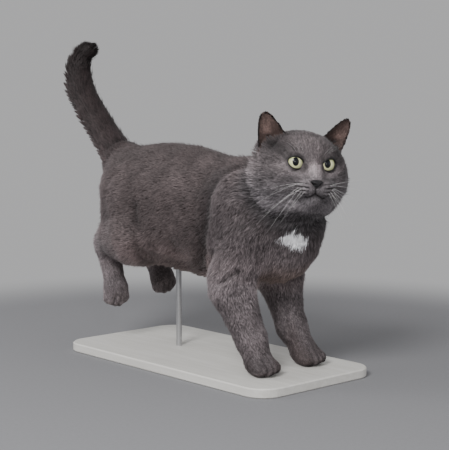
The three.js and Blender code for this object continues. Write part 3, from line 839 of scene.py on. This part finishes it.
def coat_of(mesh):
    """Every tuft: its points from root to tip, its half width, its colour and its piece."""
    made = np.random.default_rng(21)
    roots, normals = roots_on(mesh, tuft_share, made)
    kept = ~bare_skin(roots)
    roots, normals = roots[kept], normals[kept]
    ear, size = ear_share(roots), len(roots)
    field = coat_at(roots, ear)
    names, body, fringe = np.array(COAT_PIECES)[field["piece"]], 1 - field["head"], field["fringe"]
    spiky = by_cell(roots, LOCK_CELL, 8)
    hem = 0.75 * (names == "belly") * fade(-0.5, -0.9, normals[:, 2])
    guard = (made.random(size) < GUARD_SHARE) * (1 - ear) * fade(5, 8, field["length"])
    spike = (spiky > 0.3) * (made.random(size) > 0.4)
    depth = field["depth"] * toned((1.0 * spike - 0.25, fringe), (1.5 * spiky, hem), (1.1, guard))
    full = field["length"] * toned((0.6 * spike - 0.25, fringe), (0.15, guard))

    lie = unit(field["lie"] - normals * (field["lie"] * normals).sum(1, keepdims=True))
    turn = (0.12 * waves(roots, 45, 3) + made.normal(0, 0.14, size)) * (1 - 0.6 * ear)
    lie = lie * np.cos(turn)[:, None] + np.cross(normals, lie) * np.sin(turn)[:, None]
    length = full * (1 + 0.14 * waves(roots, 22, 5)) * made.uniform(0.75, 1.2, size)
    depth = depth * np.maximum(made.uniform(0.45, 1.3, size), 0.95 * spike * fringe)
    lift = np.arcsin(np.clip(depth / length, 0.08, 0.9))[:, None]
    long = length[:, None]
    middle = roots + 0.45 * long * (lie * np.cos(1.35 * lift) + normals * np.sin(1.35 * lift))
    tip = middle + 0.55 * long * (lie * np.cos(0.65 * lift) + normals * np.sin(0.65 * lift))

    loose = np.interp(length, *CLUMPING) * (1 - ear) * (1 - fringe) * (0.5 + 0.5 * body)
    locks = fade(10.5, 12.0, full) * np.isin(names, LOCKED) * (1 - ear) * body
    bunch, weight = np.maximum(0.7 * locks, 0.9 * spike * fringe), 1 + 30 * spike * fringe
    tip = clumped(tip, roots, CLUMP_CELL, loose)
    tip = clumped(tip, roots, LOCK_CELL, bunch, weight)
    middle = clumped(middle, roots, CLUMP_CELL, 0.35 * loose)
    middle = clumped(middle, roots, LOCK_CELL, 0.5 * bunch, weight)
    width = np.interp(length, *HALF_WIDTHS) * made.uniform(0.75, 1.25, size) * (1 - 0.35 * guard)
    pieces = np.where(ear > 0.5, "ears", np.where(body < 0.5, "head", names))
    return {
        "root": roots - normals * ROOT_DEPTH, "middle": middle, "tip": tip, "normal": normals,
        "side": np.cross(normals, lie), "lie": lie, "width": width[:, None], "piece": pieces,
        "tone": tuft_tones(roots, names, body, made), "shade": coat_colour_and_painted_light(roots, ear, within_ear(normals)),
    }


def round_route(points, route):
    """Each point's angle round a route, and how far along it is."""
    _, along, rest, way = nearest_on(points, route)
    other = np.cross(unit(way), (1, 0, 0))
    return np.arctan2(rest[:, 0], (rest * other).sum(1)), along


def flat_map(name, points, normals):
    """Each root's place on an unwrap of that part of the skin, in a unit square."""
    x, y, z = points.T
    side = np.where(x > 0, 1, -1)
    across, ahead, up = to_head(points).T
    if name == "head":
        u = np.arctan2(across, up + 8)
        v = np.arccos(np.clip(-ahead / length_of(to_head(points)), -1, 1))
    elif name == "ears":
        u, v = across + np.sign(across) * (60 + 60 * (within_ear(normals) > 0.5)), up
    elif name == "tail":
        u, v = round_route(points, TAIL)
    elif name in ("foreleg", "hindleg"):
        routes = FORELEGS if name == "foreleg" else HINDLEGS
        u, v = np.zeros(len(points)), np.zeros(len(points))
        for key, flip in SIDES.items():
            own = side == flip[0]
            u[own], v[own] = round_route(points[own], np.array(routes[key], float) * flip)
        u += 4 * side
        v += 0.6 * np.hypot(x - 43 * side, y + 140) * (z < 30) * (normals[:, 2] < -0.5)  # the sole
    elif name in ("chest", "rump"):
        u, v = x, z
    elif name in ("shoulder", "thigh"):
        u, v = y + 400 * side, z
    else:
        u, v = np.arctan2(x, z - 200), y
    flat = np.stack([u, v], 1)
    low, high = flat.min(0), flat.max(0)
    return 0.004 + 0.992 * (flat - low) / (high - low)


# A tuft has a root, a ring of three and a tip: the ring's section is sideways, and away from the skin.
RING = np.array([(1.0, 0.0), (0.0, 0.75), (-1.0, 0.0)])
TUFT_FACES = np.array([(0, 2, 1), (0, 3, 2), (0, 1, 3), (1, 2, 4), (2, 3, 4), (3, 1, 4)])
TUFT_FLAT = np.array([(0, -1), (1, 0), (0, 0), (-1, 0), (0, 1)]) * PATCH
TUFT_NORMALS = np.array([(0, 1, 0), (0.55, 0.8, 0), (0, 1, 0.1), (-0.55, 0.8, 0), (0, 0.85, 0.5)])
TUFT_ALONG = np.array([0.0, 0.5, 0.5, 0.5, 1.0])


def tuft_mesh(name, part, coat, chosen):
    """The chosen tufts as one mesh of small closed spindles, each with its place on the flat map."""
    get = {key: value[chosen] for key, value in coat.items()}
    count = len(chosen)
    ring = [get["middle"] + get["width"] * (a * get["side"] + b * get["normal"]) for a, b in RING]
    points = np.stack([get["root"], *ring, get["tip"]], 1)
    mesh = bpy.data.meshes.new(name)
    corners = (np.arange(count)[:, None, None] * len(TUFT_ALONG) + TUFT_FACES).reshape(-1)
    mesh.vertices.add(count * len(TUFT_ALONG))
    mesh.loops.add(len(corners))
    mesh.polygons.add(count * len(TUFT_FACES))
    mesh.vertices.foreach_set("co", (points * MM).astype(np.float32).ravel())
    mesh.loops.foreach_set("vertex_index", corners.astype(np.int32))
    mesh.polygons.foreach_set("loop_start", np.arange(0, len(corners), 3, dtype=np.int32))
    mesh.update(calc_edges=True)
    flat = flat_map(part, get["root"], get["normal"])[:, None] + TUFT_FLAT
    layer = mesh.uv_layers.new(name="OFBake")
    layer.uv.foreach_set("vector", flat.reshape(-1, 2)[corners].astype(np.float32).ravel())
    carried(mesh, "along", np.tile(TUFT_ALONG, count))
    carried(mesh, "tone", np.repeat(get["tone"], len(TUFT_ALONG)))
    with_shade(mesh, np.repeat(get["shade"], len(TUFT_ALONG), 0))
    mesh.polygons.foreach_set("use_smooth", np.ones(len(mesh.polygons), bool))
    own_frame = np.stack([get["side"], get["normal"], get["lie"]], 1)
    normals = unit(np.einsum("vk,nkc->nvc", TUFT_NORMALS, own_frame)).reshape(-1, 3)
    mesh.normals_split_custom_set_from_vertices(normals.astype(np.float32))
    return mesh


def coat_objects(mesh):
    coat, finish = coat_of(mesh), coat_finish()
    for name in sorted(set(coat["piece"])):
        chosen = np.nonzero(coat["piece"] == name)[0]
        order = chosen[np.argsort(coat["root"][chosen, 0], kind="stable")]
        parts = np.array_split(order, math.ceil(len(order) / TUFTS_A_PIECE))
        for k, part in enumerate(parts, 1):
            title = f"coat_{name}" + (f"_{k}" if len(parts) > 1 else "")
            shown(title, tuft_mesh(title, name, coat, part), finish)


# ------------ the coat's colours, with painted light and shade

COAT_TONE = np.array((0.088, 0.069, 0.069))
FACE_TONE = np.array((0.092, 0.078, 0.080))
EAR_INSIDE = np.array((0.118, 0.079, 0.070))
LOCKET_TONE = np.array((0.93, 0.93, 0.95))
# The chest's warm tint is painted warm bounce light.
GREYER, TAIL_WARMER, CHEST_WARM_BOUNCE = (-0.03, 0.05, 0.09), (0.06, -0.03, -0.02), (0.03, -0.03, -0.13)
WHISKER_RISE = 0.05
WHISKER_ROWS = (-16.8, -20.2, -23.6, -27.0)
MUZZLE_FRONT = (-22, -36)  # where the front of the muzzle starts and is full, in the head's y
FACE_PATCHES = (  # how much paler, place and reach aside, place and reach up, and where it starts
    (1.7, 0, 6.5, -1.5, 9.0, MUZZLE_FRONT),  # bridge of the nose
    (0.4, 0, 14, 20, 15, (0, -20)),  # brow
    (0.12, 12, 11, -20, 7.5, MUZZLE_FRONT),  # whisker pads
    (-0.15, 0, 12, -38, 8, MUZZLE_FRONT),  # chin, painted shade under it
    (-0.35, 15, 7, -35, 5, MUZZLE_FRONT),  # painted shade under the corners of the mouth
)
TAIL_TONES = (5, 40, 120, 215, 270), (0.9, 0.50, 0.42, 0.27, 0.17)  # way up the tail, and share of tone
LOCKET, LOCKET_HALF_WIDTH, LOCKET_HALF_HEIGHT = np.array((-21.5, -185.0, 184.5)), 14.5, 9.2


def face_streaks(head):
    """Fine light and dark streaks that run out from the nose with the hair."""
    rest = head - NOSE
    away = length_of(rest)
    return waves(rest / away[:, None] * 55, 2.4, 51) * fade(14, 30, away)


def face_shares(head):
    """The face's paler and darker places, as one share of its tone: its own markings, with painted rim light
    on the ruff's edge and painted shade under the chin and the corners of the mouth.
    """
    aside, ahead, up = abs(head[:, 0]), head[:, 1], head[:, 2]
    rows = sum(bell(up - row - WHISKER_RISE * aside, 0.85) for row in WHISKER_ROWS)
    mouth, _, philtrum = muzzle_gaps(head)
    terms = [
        (gain, bell(aside - place, wide) * bell(up - height, high) * fade(*front, ahead))
        for gain, place, wide, height, high, front in FACE_PATCHES
    ]
    terms += [
        (-0.72, bell(aside - 35, 13) * bell(up - 21, 12) * (ahead < 12)),  # temples
        (0.45 - 1.5 * rows, between(7, 11, 23, 29, aside) * bell(up + 22, 8) * fade(*MUZZLE_FRONT, ahead)),
        # painted rim light on the edge of the ruff
        (0.6 + 0.25 * fade(-35, -5, up), bell(ruff_gap(head) + 8, 10) * ruff_share(head)),
        (0.2, face_streaks(head)), (-0.75, bell(mouth, 1.5)), (-0.5, bell(philtrum, 1.0)),
    ]
    for eye in EYES:
        own = eye.into(head)
        spread = eye.spread(own)
        close = (ahead < -10) & (spread < 2.9)
        terms += [
            (0.7, close * bell(spread - 1.75, 0.45) * fade(2, -4, own[:, 1])),  # under the eye
            (-0.4, close * bell(spread - 1.25, 0.2) * fade(-2, 4, own[:, 1])),  # over it
            (-0.55, close * bell(own[:, 0] + 11.5, 2.2) * bell(own[:, 1] + 5.5, 5)),  # tear line
        ]
    return toned(*terms)


def painted_fold_light_and_shade(points):
    """Painted shade where the coat parts behind the shoulders, over the elbows, in the hollow by the elbow,
    under the ruff and at the thigh's edge, with painted light before the shoulder's edge and along the neck's
    creases.
    """
    head, own = to_head(points), mirrored(points)
    x, y, z = points.T
    behind, beside = shoulder_gap(points)
    collar = bell(ruff_gap(head) - 10, 11) * fade(26, 8, head[:, 2]) * fade(100, 80, length_of(head))
    # Negative gains are painted shade in the folds and hollows, positive ones painted light on the shoulder's
    # edge and the neck's creases.
    return toned(
        (-0.55, beside * fade(-2, 4, behind) * bell(np.maximum(behind - 4, 0), 26)),
        (-0.7, bell(side_gap(own - (0, 0, 2.5), ELBOW_FOLD), 3.2)),
        (-0.6, collar),
        (-0.35, bell(length_of(own - ELBOW_HOLLOW), 26)),
        (0.3, beside * bell(behind + 9, 9)),
        (0.4, collar * fade(-155, -180, y) * np.sin((z + 0.25 * abs(x + 20)) * 0.95)),  # painted light and shade along the neck's creases
        (-0.35, bell(side_gap(own, THIGH_EDGE), 9)),
    )


def coat_colour_and_painted_light(points, ear, inside):
    """The coat's colour at each root, before each tuft's small difference, with painted light and shade laid
    into it.
    """
    head = to_head(points)
    x, y, z = points.T
    on_head = np.maximum(fade(80, 60, length_of(head - (0, 0, -6))), ear)
    up_tail, from_tail, fringe = tail_places(points)
    on_tail = fade(36, 27, from_tail) * fade(160, 170, y)
    legs = between(25, 60, 95, 195, z) * (1 - 0.6 * (x > 0)) * (1 - between(-70, -30, 70, 90, y))
    behind = fade(145, 190, y) * fade(268, 232, z) * (1 - on_tail)
    underside = between(95, 115, 140, 185, z) * fade(130, 90, y)
    low_chest = fade(160, 130, z) * fade(-100, -125, y) * fade(40, 25, abs(x))
    haunch = between(130, 160, 225, 255, z) * fade(100, 140, y) * (1 - on_tail)
    base = 1.06 + 0.12 * waves(points, 42, 31) + 0.08 * waves(points, 13, 32)
    # painted light: the front of the body paler and the top of the back darker
    base *= 1 + 0.22 * fade(-30, -80, y) - 0.12 * fade(245, 285, z)
    tone = base * painted_fold_light_and_shade(points) * toned(
        # darker up the tail: partly the tail's own colour, partly painted shade
        (np.interp(up_tail, *TAIL_TONES) * (0.85 + 1.0 * fringe) - 1, on_tail),
        # painted light: legs paler, most on the near side, rump, belly from below and haunch paler; painted
        # shade on the low chest
        (0.75, legs), (2.2, behind), (0.85, underside), (-0.22, low_chest), (0.4, haunch * (1 - behind)),
        (0.35, fade(105, 85, z) * fade(90, 110, y) * (x < 0)),  # near hind foot, painted light
        (-0.45, fade(120, 100, z) * (x > 0) * (y > 100)),  # painted shadow on the far hind foot, under the belly
        # painted shade in the clefts between the toes
        (-0.35, cleft_share(points)[0]), (face_shares(head) - 1, on_head),
    )
    shade = blend(COAT_TONE, FACE_TONE, on_head[:, None]) * tone[:, None]
    inner = EAR_INSIDE * ear_inside_share(head)[:, None]
    shade = blend(shade * (1 - 0.25 * ear[:, None]), inner, (ear * inside)[:, None])
    front = 0.8 * fade(-40, -75, y) * fade(278, 235, z)
    # greyer hair tips on the legs, front and rump; warmer under the belly and on the low chest, painted warm
    # bounce light
    grey = legs + front + 0.6 * behind + 0.3 * haunch - 0.6 * underside - 0.8 * low_chest
    grey = np.clip(grey + 0.015 * waves(points, 36, 33), -1, 1)
    warm_bounce = low_chest * fade(90, 110, z)
    for share, hue in ((grey, GREYER), (on_tail, TAIL_WARMER), (warm_bounce, CHEST_WARM_BOUNCE)):
        shade = shade * (1 + share[:, None] * hue)
    return blend(shade, LOCKET_TONE, locket_share(points)[:, None])


def ear_inside_share(head):
    """The bowl of the ear: dark at its rim, with painted shade at its base and in the pocket at its outer
    base, and paler in its middle.
    """
    aside, up = abs(head[:, 0]), head[:, 2]
    bowl = 0.75 * bell(np.hypot(aside - 47, (up - 42) * 0.7), 9)
    bowl += 0.7 * bell(np.hypot(aside - 45.5, up - 40), 4.5)
    # painted shade at the base of the bowl and in the pocket
    base = 0.65 * bell(aside - 42, 9) * bell(up - 33.5, 2.6)
    base += 0.6 * bell(aside - 49.5, 2.5) * bell(up - 22, 6)
    return (0.62 + bowl) * (1 - base)


def within_ear(normals):
    """1 on the front of the ears."""
    return fade(-0.15, 0.35, -(normals @ HEAD.axes.T)[:, 1])


def locket_share(points):
    """1 on the white spot of the chest, with a ragged edge."""
    aside, _, up = (points - LOCKET).T
    high = LOCKET_HALF_HEIGHT + (up > 0) * 3 * (bell(aside + 7, 5) - fade(-2, 9, aside))
    away = np.hypot(aside / LOCKET_HALF_WIDTH, (up + 0.2 * aside) / high)
    away += 0.15 * waves(points, 9, 41) + 0.38 * (by_cell(points, 1.4, 43) - 0.5)
    return fade(1.1, 0.75, away) * (points[:, 1] < -120) * (abs(up) < 30)


def with_shade(mesh, shade):
    layer = mesh.attributes.new("shade", "FLOAT_COLOR", "POINT")
    colour = np.column_stack([shade, np.ones(len(shade))])
    layer.data.foreach_set("color", colour.astype(np.float32).ravel())


def coat_finish():
    fur = Finish("coat", Roughness=0.62, Specular_IOR_Level=0.25, Sheen_Weight=0.06, Sheen_Roughness=0.4)
    # each tuft darker towards its root: painted shade deep in the coat
    share = fur.own("along").ease(0.0, 0.9, 0.42, 1.22) * (0.45 + 1.1 * fur.own("tone"))
    return fur.shade(Base_Color=fur.tinted(fur.own("shade", "Color"), share))


def skin_finish():
    skin = Finish("skin", Roughness=0.8, Specular_IOR_Level=0.2)
    skin.shade(Normal=skin.bump(skin.grain(900, 3.0), 0.0006, 0.6))
    # the skin darker than the coat: painted shade in the gaps between the tufts
    return skin.shade(Base_Color=skin.tinted(skin.own("shade", "Color"), 0.55 + 0.45 * skin.grain(260)))


# ------------ eyes, nose, lips, whiskers, claws and pads

IRIS_RADIUS, PUPIL_WIDTH, PUPIL_HEIGHT, EYE_FRONT_RISE = 9.3, 3.9, 5.1, 0.045
GAZE, GAZE_RISE = {"right": math.radians(-38), "left": math.radians(-34)}, math.radians(8)
NOSE_PLACE = (0, -54.6, -15.2)
NOSE_WIDTHS = (-1, -0.75, -0.1, 0.4, 1.0), (0.22, 0.34, 0.80, 1.0, 0.92)  # height, and share of full width
NOSTRIL = np.array([(3.0, -16.6), (4.6, -16.2), (6.6, -14.6)])
LIP_RADII = (0, 2, 6), (0.55, 0.7, 0.25)
WHISKER_LENGTHS, WHISKER_FALLS = (1.0, 1.05, 0.9), (0.10, 0.50, 1.05)  # for each row
CLAW, CLAW_RADII = ((0, 4.5, -2.6), (0, 6.8, -1.4), (0, 8.2, 0.6), (0, 8.5, 2.4)), (1.0, 0.85, 0.5, 0.1)
PAD_RISE, PAD_SINK, HEEL_PAD = 3.2, 0.4, (0, 2.5, 7.5, 5.5)


def tubes(name, lines):
    """Round tapering strands as one mesh: each line is its points, a radius for each, and if it closes."""
    curve = bpy.data.curves.new(name, "CURVE")
    curve.dimensions, curve.bevel_depth, curve.bevel_resolution = "3D", 1.0 * MM, 1
    curve.use_fill_caps, curve.resolution_u = True, 4
    for points, radii, closed in lines:
        spline = curve.splines.new("POLY")
        spline.points.add(len(points) - 1)
        spline.use_cyclic_u = closed
        for knot, place, radius in zip(spline.points, points, radii):
            knot.co, knot.radius = (*(place * MM), 1), radius
    made = evaluated(name, curve)
    shape = bmesh.new()
    shape.from_mesh(made)
    bmesh.ops.remove_doubles(shape, verts=shape.verts, dist=0.001 * MM)
    bmesh.ops.recalc_face_normals(shape, faces=shape.faces)
    shape.to_mesh(made)
    shape.free()
    made.shade_smooth()
    return made


def in_fixed_order(shape):
    """Makes the faces anew, sorted and each from its lowest corner, since a round ball's come in any order."""
    shape.verts.index_update()
    rows = [[vertex.index for vertex in face.verts] for face in shape.faces]
    rows = sorted(row[row.index(min(row)):] + row[:row.index(min(row))] for row in rows)
    mesh = bpy.data.meshes.new("ordered")
    mesh.from_pydata([vertex.co for vertex in shape.verts], [], rows)
    shape.clear()
    shape.from_mesh(mesh)
    bpy.data.meshes.remove(mesh)


def eyeball(eye):
    """A round eye with a raised clear front, turned to where the cat looks, and its front's flat map."""
    shape = bmesh.new()
    bmesh.ops.create_uvsphere(shape, u_segments=48, v_segments=32, radius=EYE_RADIUS * MM)
    in_fixed_order(shape)
    for vertex in shape.verts:
        lean = math.degrees(Vector((0, 0, 1)).angle(vertex.co))
        vertex.co *= 1 + EYE_FRONT_RISE * float(fade(44, 10, lean))
    layer = shape.loops.layers.uv.new("front")
    for face in shape.faces:
        for loop in face.loops:
            x, y, z = loop.vert.co / (EYE_RADIUS * MM)
            reach = 0.25 if z > 0 else 0.5
            loop[layer].uv = (0.5 + reach * x, 0.5 + reach * y)
    turned = Vector(heading(GAZE[eye.side], GAZE_RISE)).to_track_quat("Z", "Y").to_matrix().to_4x4()
    middle = Matrix.Translation(Vector(from_head(eye.middle) * MM))
    bmesh.ops.transform(shape, matrix=middle @ turned, verts=shape.verts)
    return as_mesh(f"eyeball_{eye.side}", shape)


def eye_finish():
    eye = Finish("eye", Roughness=0.5, Specular_IOR_Level=0.05)
    eye.shade(Coat_Weight=1.0, Coat_Roughness=0.02, Coat_IOR=1.36)
    flat = eye.node("SeparateXYZ", None, {0: eye.node("UVMap", {"uv_map": "front"})})
    up = Value(eye, flat.socket.node.outputs[1])
    x, y = (flat - 0.5) * (4 * EYE_RADIUS), (up - 0.5) * (4 * EYE_RADIUS)
    away = (x * x + y * y) ** 0.5
    oval = ((x * (1 / PUPIL_WIDTH)) ** 2.0 + (y * (1 / PUPIL_HEIGHT)) ** 2.0) ** 0.5
    rays = eye.node("CombineXYZ", None, {0: y.maths("ARCTAN2", x) * 5.0, 1: away * 0.25})
    ring, streaks = away * (1 / IRIS_RADIUS), eye.grain(4.0, 3.0, where=rays)
    colour = (0.80, 0.79, 0.45)
    for share, tone in (
        (ring.ease(0.45, 0.98), (0.48, 0.52, 0.24)),
        (y.ease(-1.0, 7.0) * 0.6, (0.24, 0.28, 0.12)),  # in the shade of the upper lid
        (streaks.ease(0.3, 0.75) * 0.35, (0.75, 0.74, 0.50)),
        (ring.ease(0.93, 1.02), (0.016, 0.013, 0.013)),  # round the iris
        (oval.ease(1.06, 0.96), (0.003, 0.004, 0.006)),  # pupil
    ):
        colour = eye.mix(share, colour, tone)
    return eye.shade(Base_Color=colour)


def lid_rims():
    """The dark edge of the lids round each eye, thicker above, with a tear corner towards the nose."""
    turns = np.linspace(0, 2 * math.pi, 56, endpoint=False)
    corner = np.exp(-(((turns - math.pi) / 0.22) ** 2))
    across = (LID_HALF_WIDTH - LID_INSET) * np.cos(turns)
    height = np.where(np.sin(turns) > 0, LID_RISE, LID_FALL) - LID_INSET
    up = height * np.sin(turns) + LID_SLANT * across
    flat = np.stack([across, up], 1) - corner[:, None] * (1.6, 1.1)
    ahead = np.sqrt(np.maximum((LID_WALL + 0.1) ** 2 - (flat**2).sum(1), 4))
    radii = 0.7 + 0.5 * np.clip(np.sin(turns), 0, 1) + 0.25 * corner
    rim = np.column_stack([flat, ahead])
    return tubes("lid_rims", [(from_head(eye.out_of(rim)), radii, True) for eye in EYES])


def dark_skin_finish(name, tone):
    leather = Finish(name, Specular_IOR_Level=0.4)
    fine = leather.grain(1400, 3.0, 0.6)
    colour = leather.mix(leather.grain(300), tuple(0.7 * t for t in tone), tuple(1.4 * t for t in tone))
    leather.shade(Normal=leather.bump(fine, 0.0003, 0.5), Roughness=0.35 + 0.25 * fine)
    return leather.shade(Base_Color=colour)


def nose_mesh():
    """The nose leather: broad and level on top, narrow below, with two comma nostrils."""
    shape = bmesh.new()
    bmesh.ops.create_icosphere(shape, subdivisions=5, radius=1.0)
    ball = np.array([vertex.co for vertex in shape.verts])
    x, y, z = (ball / (abs(ball) ** 3.0).sum(1, keepdims=True) ** (1 / 3.0)).T
    head = np.stack([x * 8.1 * np.interp(z, *NOSE_WIDTHS), y * 4.8, z * 4.6], 1) + NOSE_PLACE
    aside, up = abs(head[:, 0]), head[:, 2]
    head[:, 1] += 1.8 * fade(-14, -10.5, up) + 1.2 * fade(-17, -20, up) + aside**2 / 40
    nostril = bell(nearest_on(np.stack([aside, up], 1), NOSTRIL)[0], 1.1) * (head[:, 1] < -54)
    head[:, 1] += 2.4 * nostril + 0.8 * bell(aside, 0.6) * fade(-13, -17, up)
    mesh = as_mesh("nose_leather", shape)
    placed(mesh, from_head(head))
    carried(mesh, "nostril", nostril)
    return mesh


def nose_finish():
    nose = Finish("nose", Specular_IOR_Level=0.3)
    pebbles = nose.node("TexVoronoi", None, {"Vector": nose.place(), "Scale": 1500})
    colour = nose.mix(nose.grain(350), (0.009, 0.008, 0.009), (0.024, 0.022, 0.024))
    # nostrils near black: painted shade inside the openings
    colour = nose.mix(nose.own("nostril") * 0.9, colour, (0.002, 0.002, 0.002))
    nose.shade(Normal=nose.bump(pebbles, 0.0003, 0.5), Roughness=0.42 + 0.2 * pebbles)
    return nose.shade(Base_Color=colour)


def on_face(tree, aside, up):
    """Where a line straight back from in front of the face meets the skin, in the head's frame."""
    found = tree.ray_cast(Vector(from_head((aside, -90, up)) * MM), Vector(HEAD.axes[1]))
    return to_head(np.array(found[0]) / MM)


def lips_mesh(tree):
    lines = []
    for sign in (1, -1):
        route = [on_face(tree, sign * x, z) + (0, -0.25, 0) for x, z in MOUTH]
        lines.append((from_head(route), np.interp(range(len(route)), *LIP_RADII), False))
    route = [on_face(tree, 0, z) + (0, -0.2, 0) for z in np.linspace(-19.5, -26.5, 5)]
    return tubes("lips", [*lines, (from_head(route), [0.4] * len(route), False)])


def bent_hair(root, way, bend, long, radius, taper, knots):
    """One strand that starts off that way and bends more and more towards its tip."""
    t = np.linspace(0, 1, knots)
    route = root + long * (np.outer(t, unit(np.array(way))) + np.outer(t**2, bend))
    return from_head(route), radius * (1 - taper * t), False


def whisker_lines(tree):
    """Nine whiskers on each side, and three brow hairs over each eye."""
    made = np.random.default_rng(5)
    lines = []
    for sign, stretch, sag in ((1, 1.4, -0.12), (-1, 1, -0.38)):
        for row, (up, share, fall) in enumerate(zip(WHISKER_ROWS, WHISKER_LENGTHS, WHISKER_FALLS)):
            for column in range(3):
                aside = 11 + 4.0 * column + 1.2 * row
                root = on_face(tree, sign * aside, up + WHISKER_RISE * aside)
                long = (38 + 9 * column + made.uniform(-6, 6)) * share * stretch
                down = fall + 0.22 * (1 - column) * sign + made.uniform(-0.1, 0.1)
                way = (sign * 0.8, -0.12 + 0.14 * column, -down)
                bend = (0, 0.225, 0.75 * (sag + made.uniform(-0.1, 0.1)))
                lines.append(bent_hair(root, way, bend, long, 0.13, 0.8, 9))
        for k in range(3):
            root = on_face(tree, sign * (13 + 4 * k), 17.5 + k)
            way, bend = (sign * (0.35 + 0.2 * k), -0.75, 1.0), (sign * 0.3, 0.45, -0.1)
            lines.append(bent_hair(root, way, bend, 24 - 3 * k, 0.06, 0.7, 8))
    return lines


def claw_lines():
    """Four half sheathed claws on each foot."""
    return [(foot.out_of(CLAW + toe_end(place)), CLAW_RADII, False) for foot in FEET for place in TOES]


def pads_mesh(tree):
    """The leather pads under the two lifted feet: one for each toe and a broad one behind them."""
    shape = bmesh.new()
    for foot in HIND_FEET:
        down = Vector(foot.axes[2])
        turn = Matrix(foot.axes.tolist()).transposed().to_4x4()
        pads = [(*toe_end(place)[:2] - (0, 1.5), 3.1, 3.9) for place in TOES] + [HEEL_PAD]
        for aside, ahead, across, along in pads:
            found = tree.ray_cast(Vector(foot.out_of((aside, ahead, 40)) * MM), -down)
            size = Matrix.Diagonal((across * MM, along * MM, PAD_RISE * MM, 1))
            place = Matrix.Translation(found[0] - PAD_SINK * MM * down) @ turn @ size
            bmesh.ops.create_icosphere(shape, subdivisions=3, radius=1.0, matrix=place)
    return as_mesh("pads", shape)


def horn_finish(name, root, tip, roughness):
    horn = Finish(name, Specular_IOR_Level=0.5)
    streaks = horn.grain(900, where=horn.place((1, 1, 0.25)))
    return horn.shade(Base_Color=horn.mix(streaks, root, tip), Roughness=roughness + 0.15 * streaks)


def face_and_feet(skin_tree):
    eye_look = eye_finish()
    for eye in EYES:
        shown(f"eyeball_{eye.side}", eyeball(eye), eye_look, replaced=[f"eye_{eye.side}"])
    shown("lid_rims", lid_rims(), dark_skin_finish("lid", (0.006, 0.005, 0.005)))
    shown("nose_leather", nose_mesh(), nose_finish(), replaced=["nose"])
    shown("lips", lips_mesh(skin_tree), dark_skin_finish("lip", (0.012, 0.010, 0.010)))
    shown("pads", pads_mesh(skin_tree), dark_skin_finish("pad", (0.018, 0.015, 0.015)))
    pale_horn = horn_finish("whisker", (0.6, 0.58, 0.57), (0.85, 0.84, 0.83), 0.35)
    shown("whiskers", tubes("whiskers", whisker_lines(skin_tree)), pale_horn)
    dark_horn = horn_finish("claw", (0.06, 0.05, 0.05), (0.2, 0.17, 0.16), 0.3)
    shown("claws", tubes("claws", claw_lines()), dark_horn)


# ------------ stand and floor

FLOOR_SPAN, FLOOR_TONE = 6, (0.25, 0.25, 0.26)
FLOOR_EDGE, FLOOR_FADE = 0.52, 0.85


def floor_finish():
    """A plain pale floor that, away from the stand, goes over into a painted glow in the tone and light of the
    room.
    """
    floor = Finish("floor", Roughness=0.85, Specular_IOR_Level=0.0, Emission_Strength=1.0)
    away = floor.node("VectorMath", {"operation": "LENGTH"}, {0: floor.place()}, output="Value")
    faded = away.ease(FLOOR_EDGE, FLOOR_FADE)
    near = floor.tinted(FLOOR_TONE, 0.93 + 0.14 * floor.grain(220, 3.0, 0.7))
    room = tuple(ROOM_LIGHT * tone for tone in ROOM_TONE)
    return floor.shade(
        Base_Color=floor.mix(faded, near, (0, 0, 0)), Emission_Color=floor.mix(faded, (0, 0, 0), room),
    )


def refinished(node, material):
    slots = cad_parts[node].data.materials
    slots.clear()
    slots.append(material)


def stand_finishes():
    """Pale satin-painted wood on the base and brushed steel on the rod."""
    board = Finish("stand_paint", Specular_IOR_Level=0.4)
    wood = board.grain(14, 4.0, 0.6, board.place((9, 0.7, 9)))
    pores = board.grain(22, where=board.place((60, 2.5, 60)))
    refinished("stand_base", board.shade(
        Base_Color=board.mix(wood.ease(0.3, 0.75), (0.60, 0.585, 0.55), (0.68, 0.665, 0.635)),
        Normal=board.bump(wood * 0.7 + pores * 0.3, 0.0006, 0.35), Roughness=0.42 + 0.16 * pores,
    ))
    steel = Finish("rod_steel", Metallic=1.0)
    brushed = steel.grain(14, 3.0, 0.6, steel.place((3, 3, 160)))
    refinished("stand_rod", steel.shade(
        Base_Color=steel.mix(brushed, (0.42, 0.42, 0.43), (0.66, 0.66, 0.67)),
        Normal=steel.bump(brushed, 0.0001, 0.3), Roughness=0.28 + 0.2 * brushed,
    ))


# ------------ everything in place

studio()
skin_data = skin_mesh()
skin_points, skin_normals = places(skin_data), normals_of(skin_data)
with_shade(skin_data, coat_colour_and_painted_light(skin_points, ear_share(skin_points), within_ear(skin_normals)))
skin_shape = bmesh.new()
skin_shape.from_mesh(skin_data)
face_and_feet(BVHTree.FromBMesh(skin_shape))
skin_shape.free()
coat_objects(skin_data)
shown("skin", skin_data, skin_finish(), replaced=FLESH)

floor_shape = bmesh.new()
bmesh.ops.create_grid(floor_shape, x_segments=1, y_segments=1, size=FLOOR_SPAN)
floor = shown("floor", as_mesh("floor", floor_shape), floor_finish(), body=None)
stand_finishes()
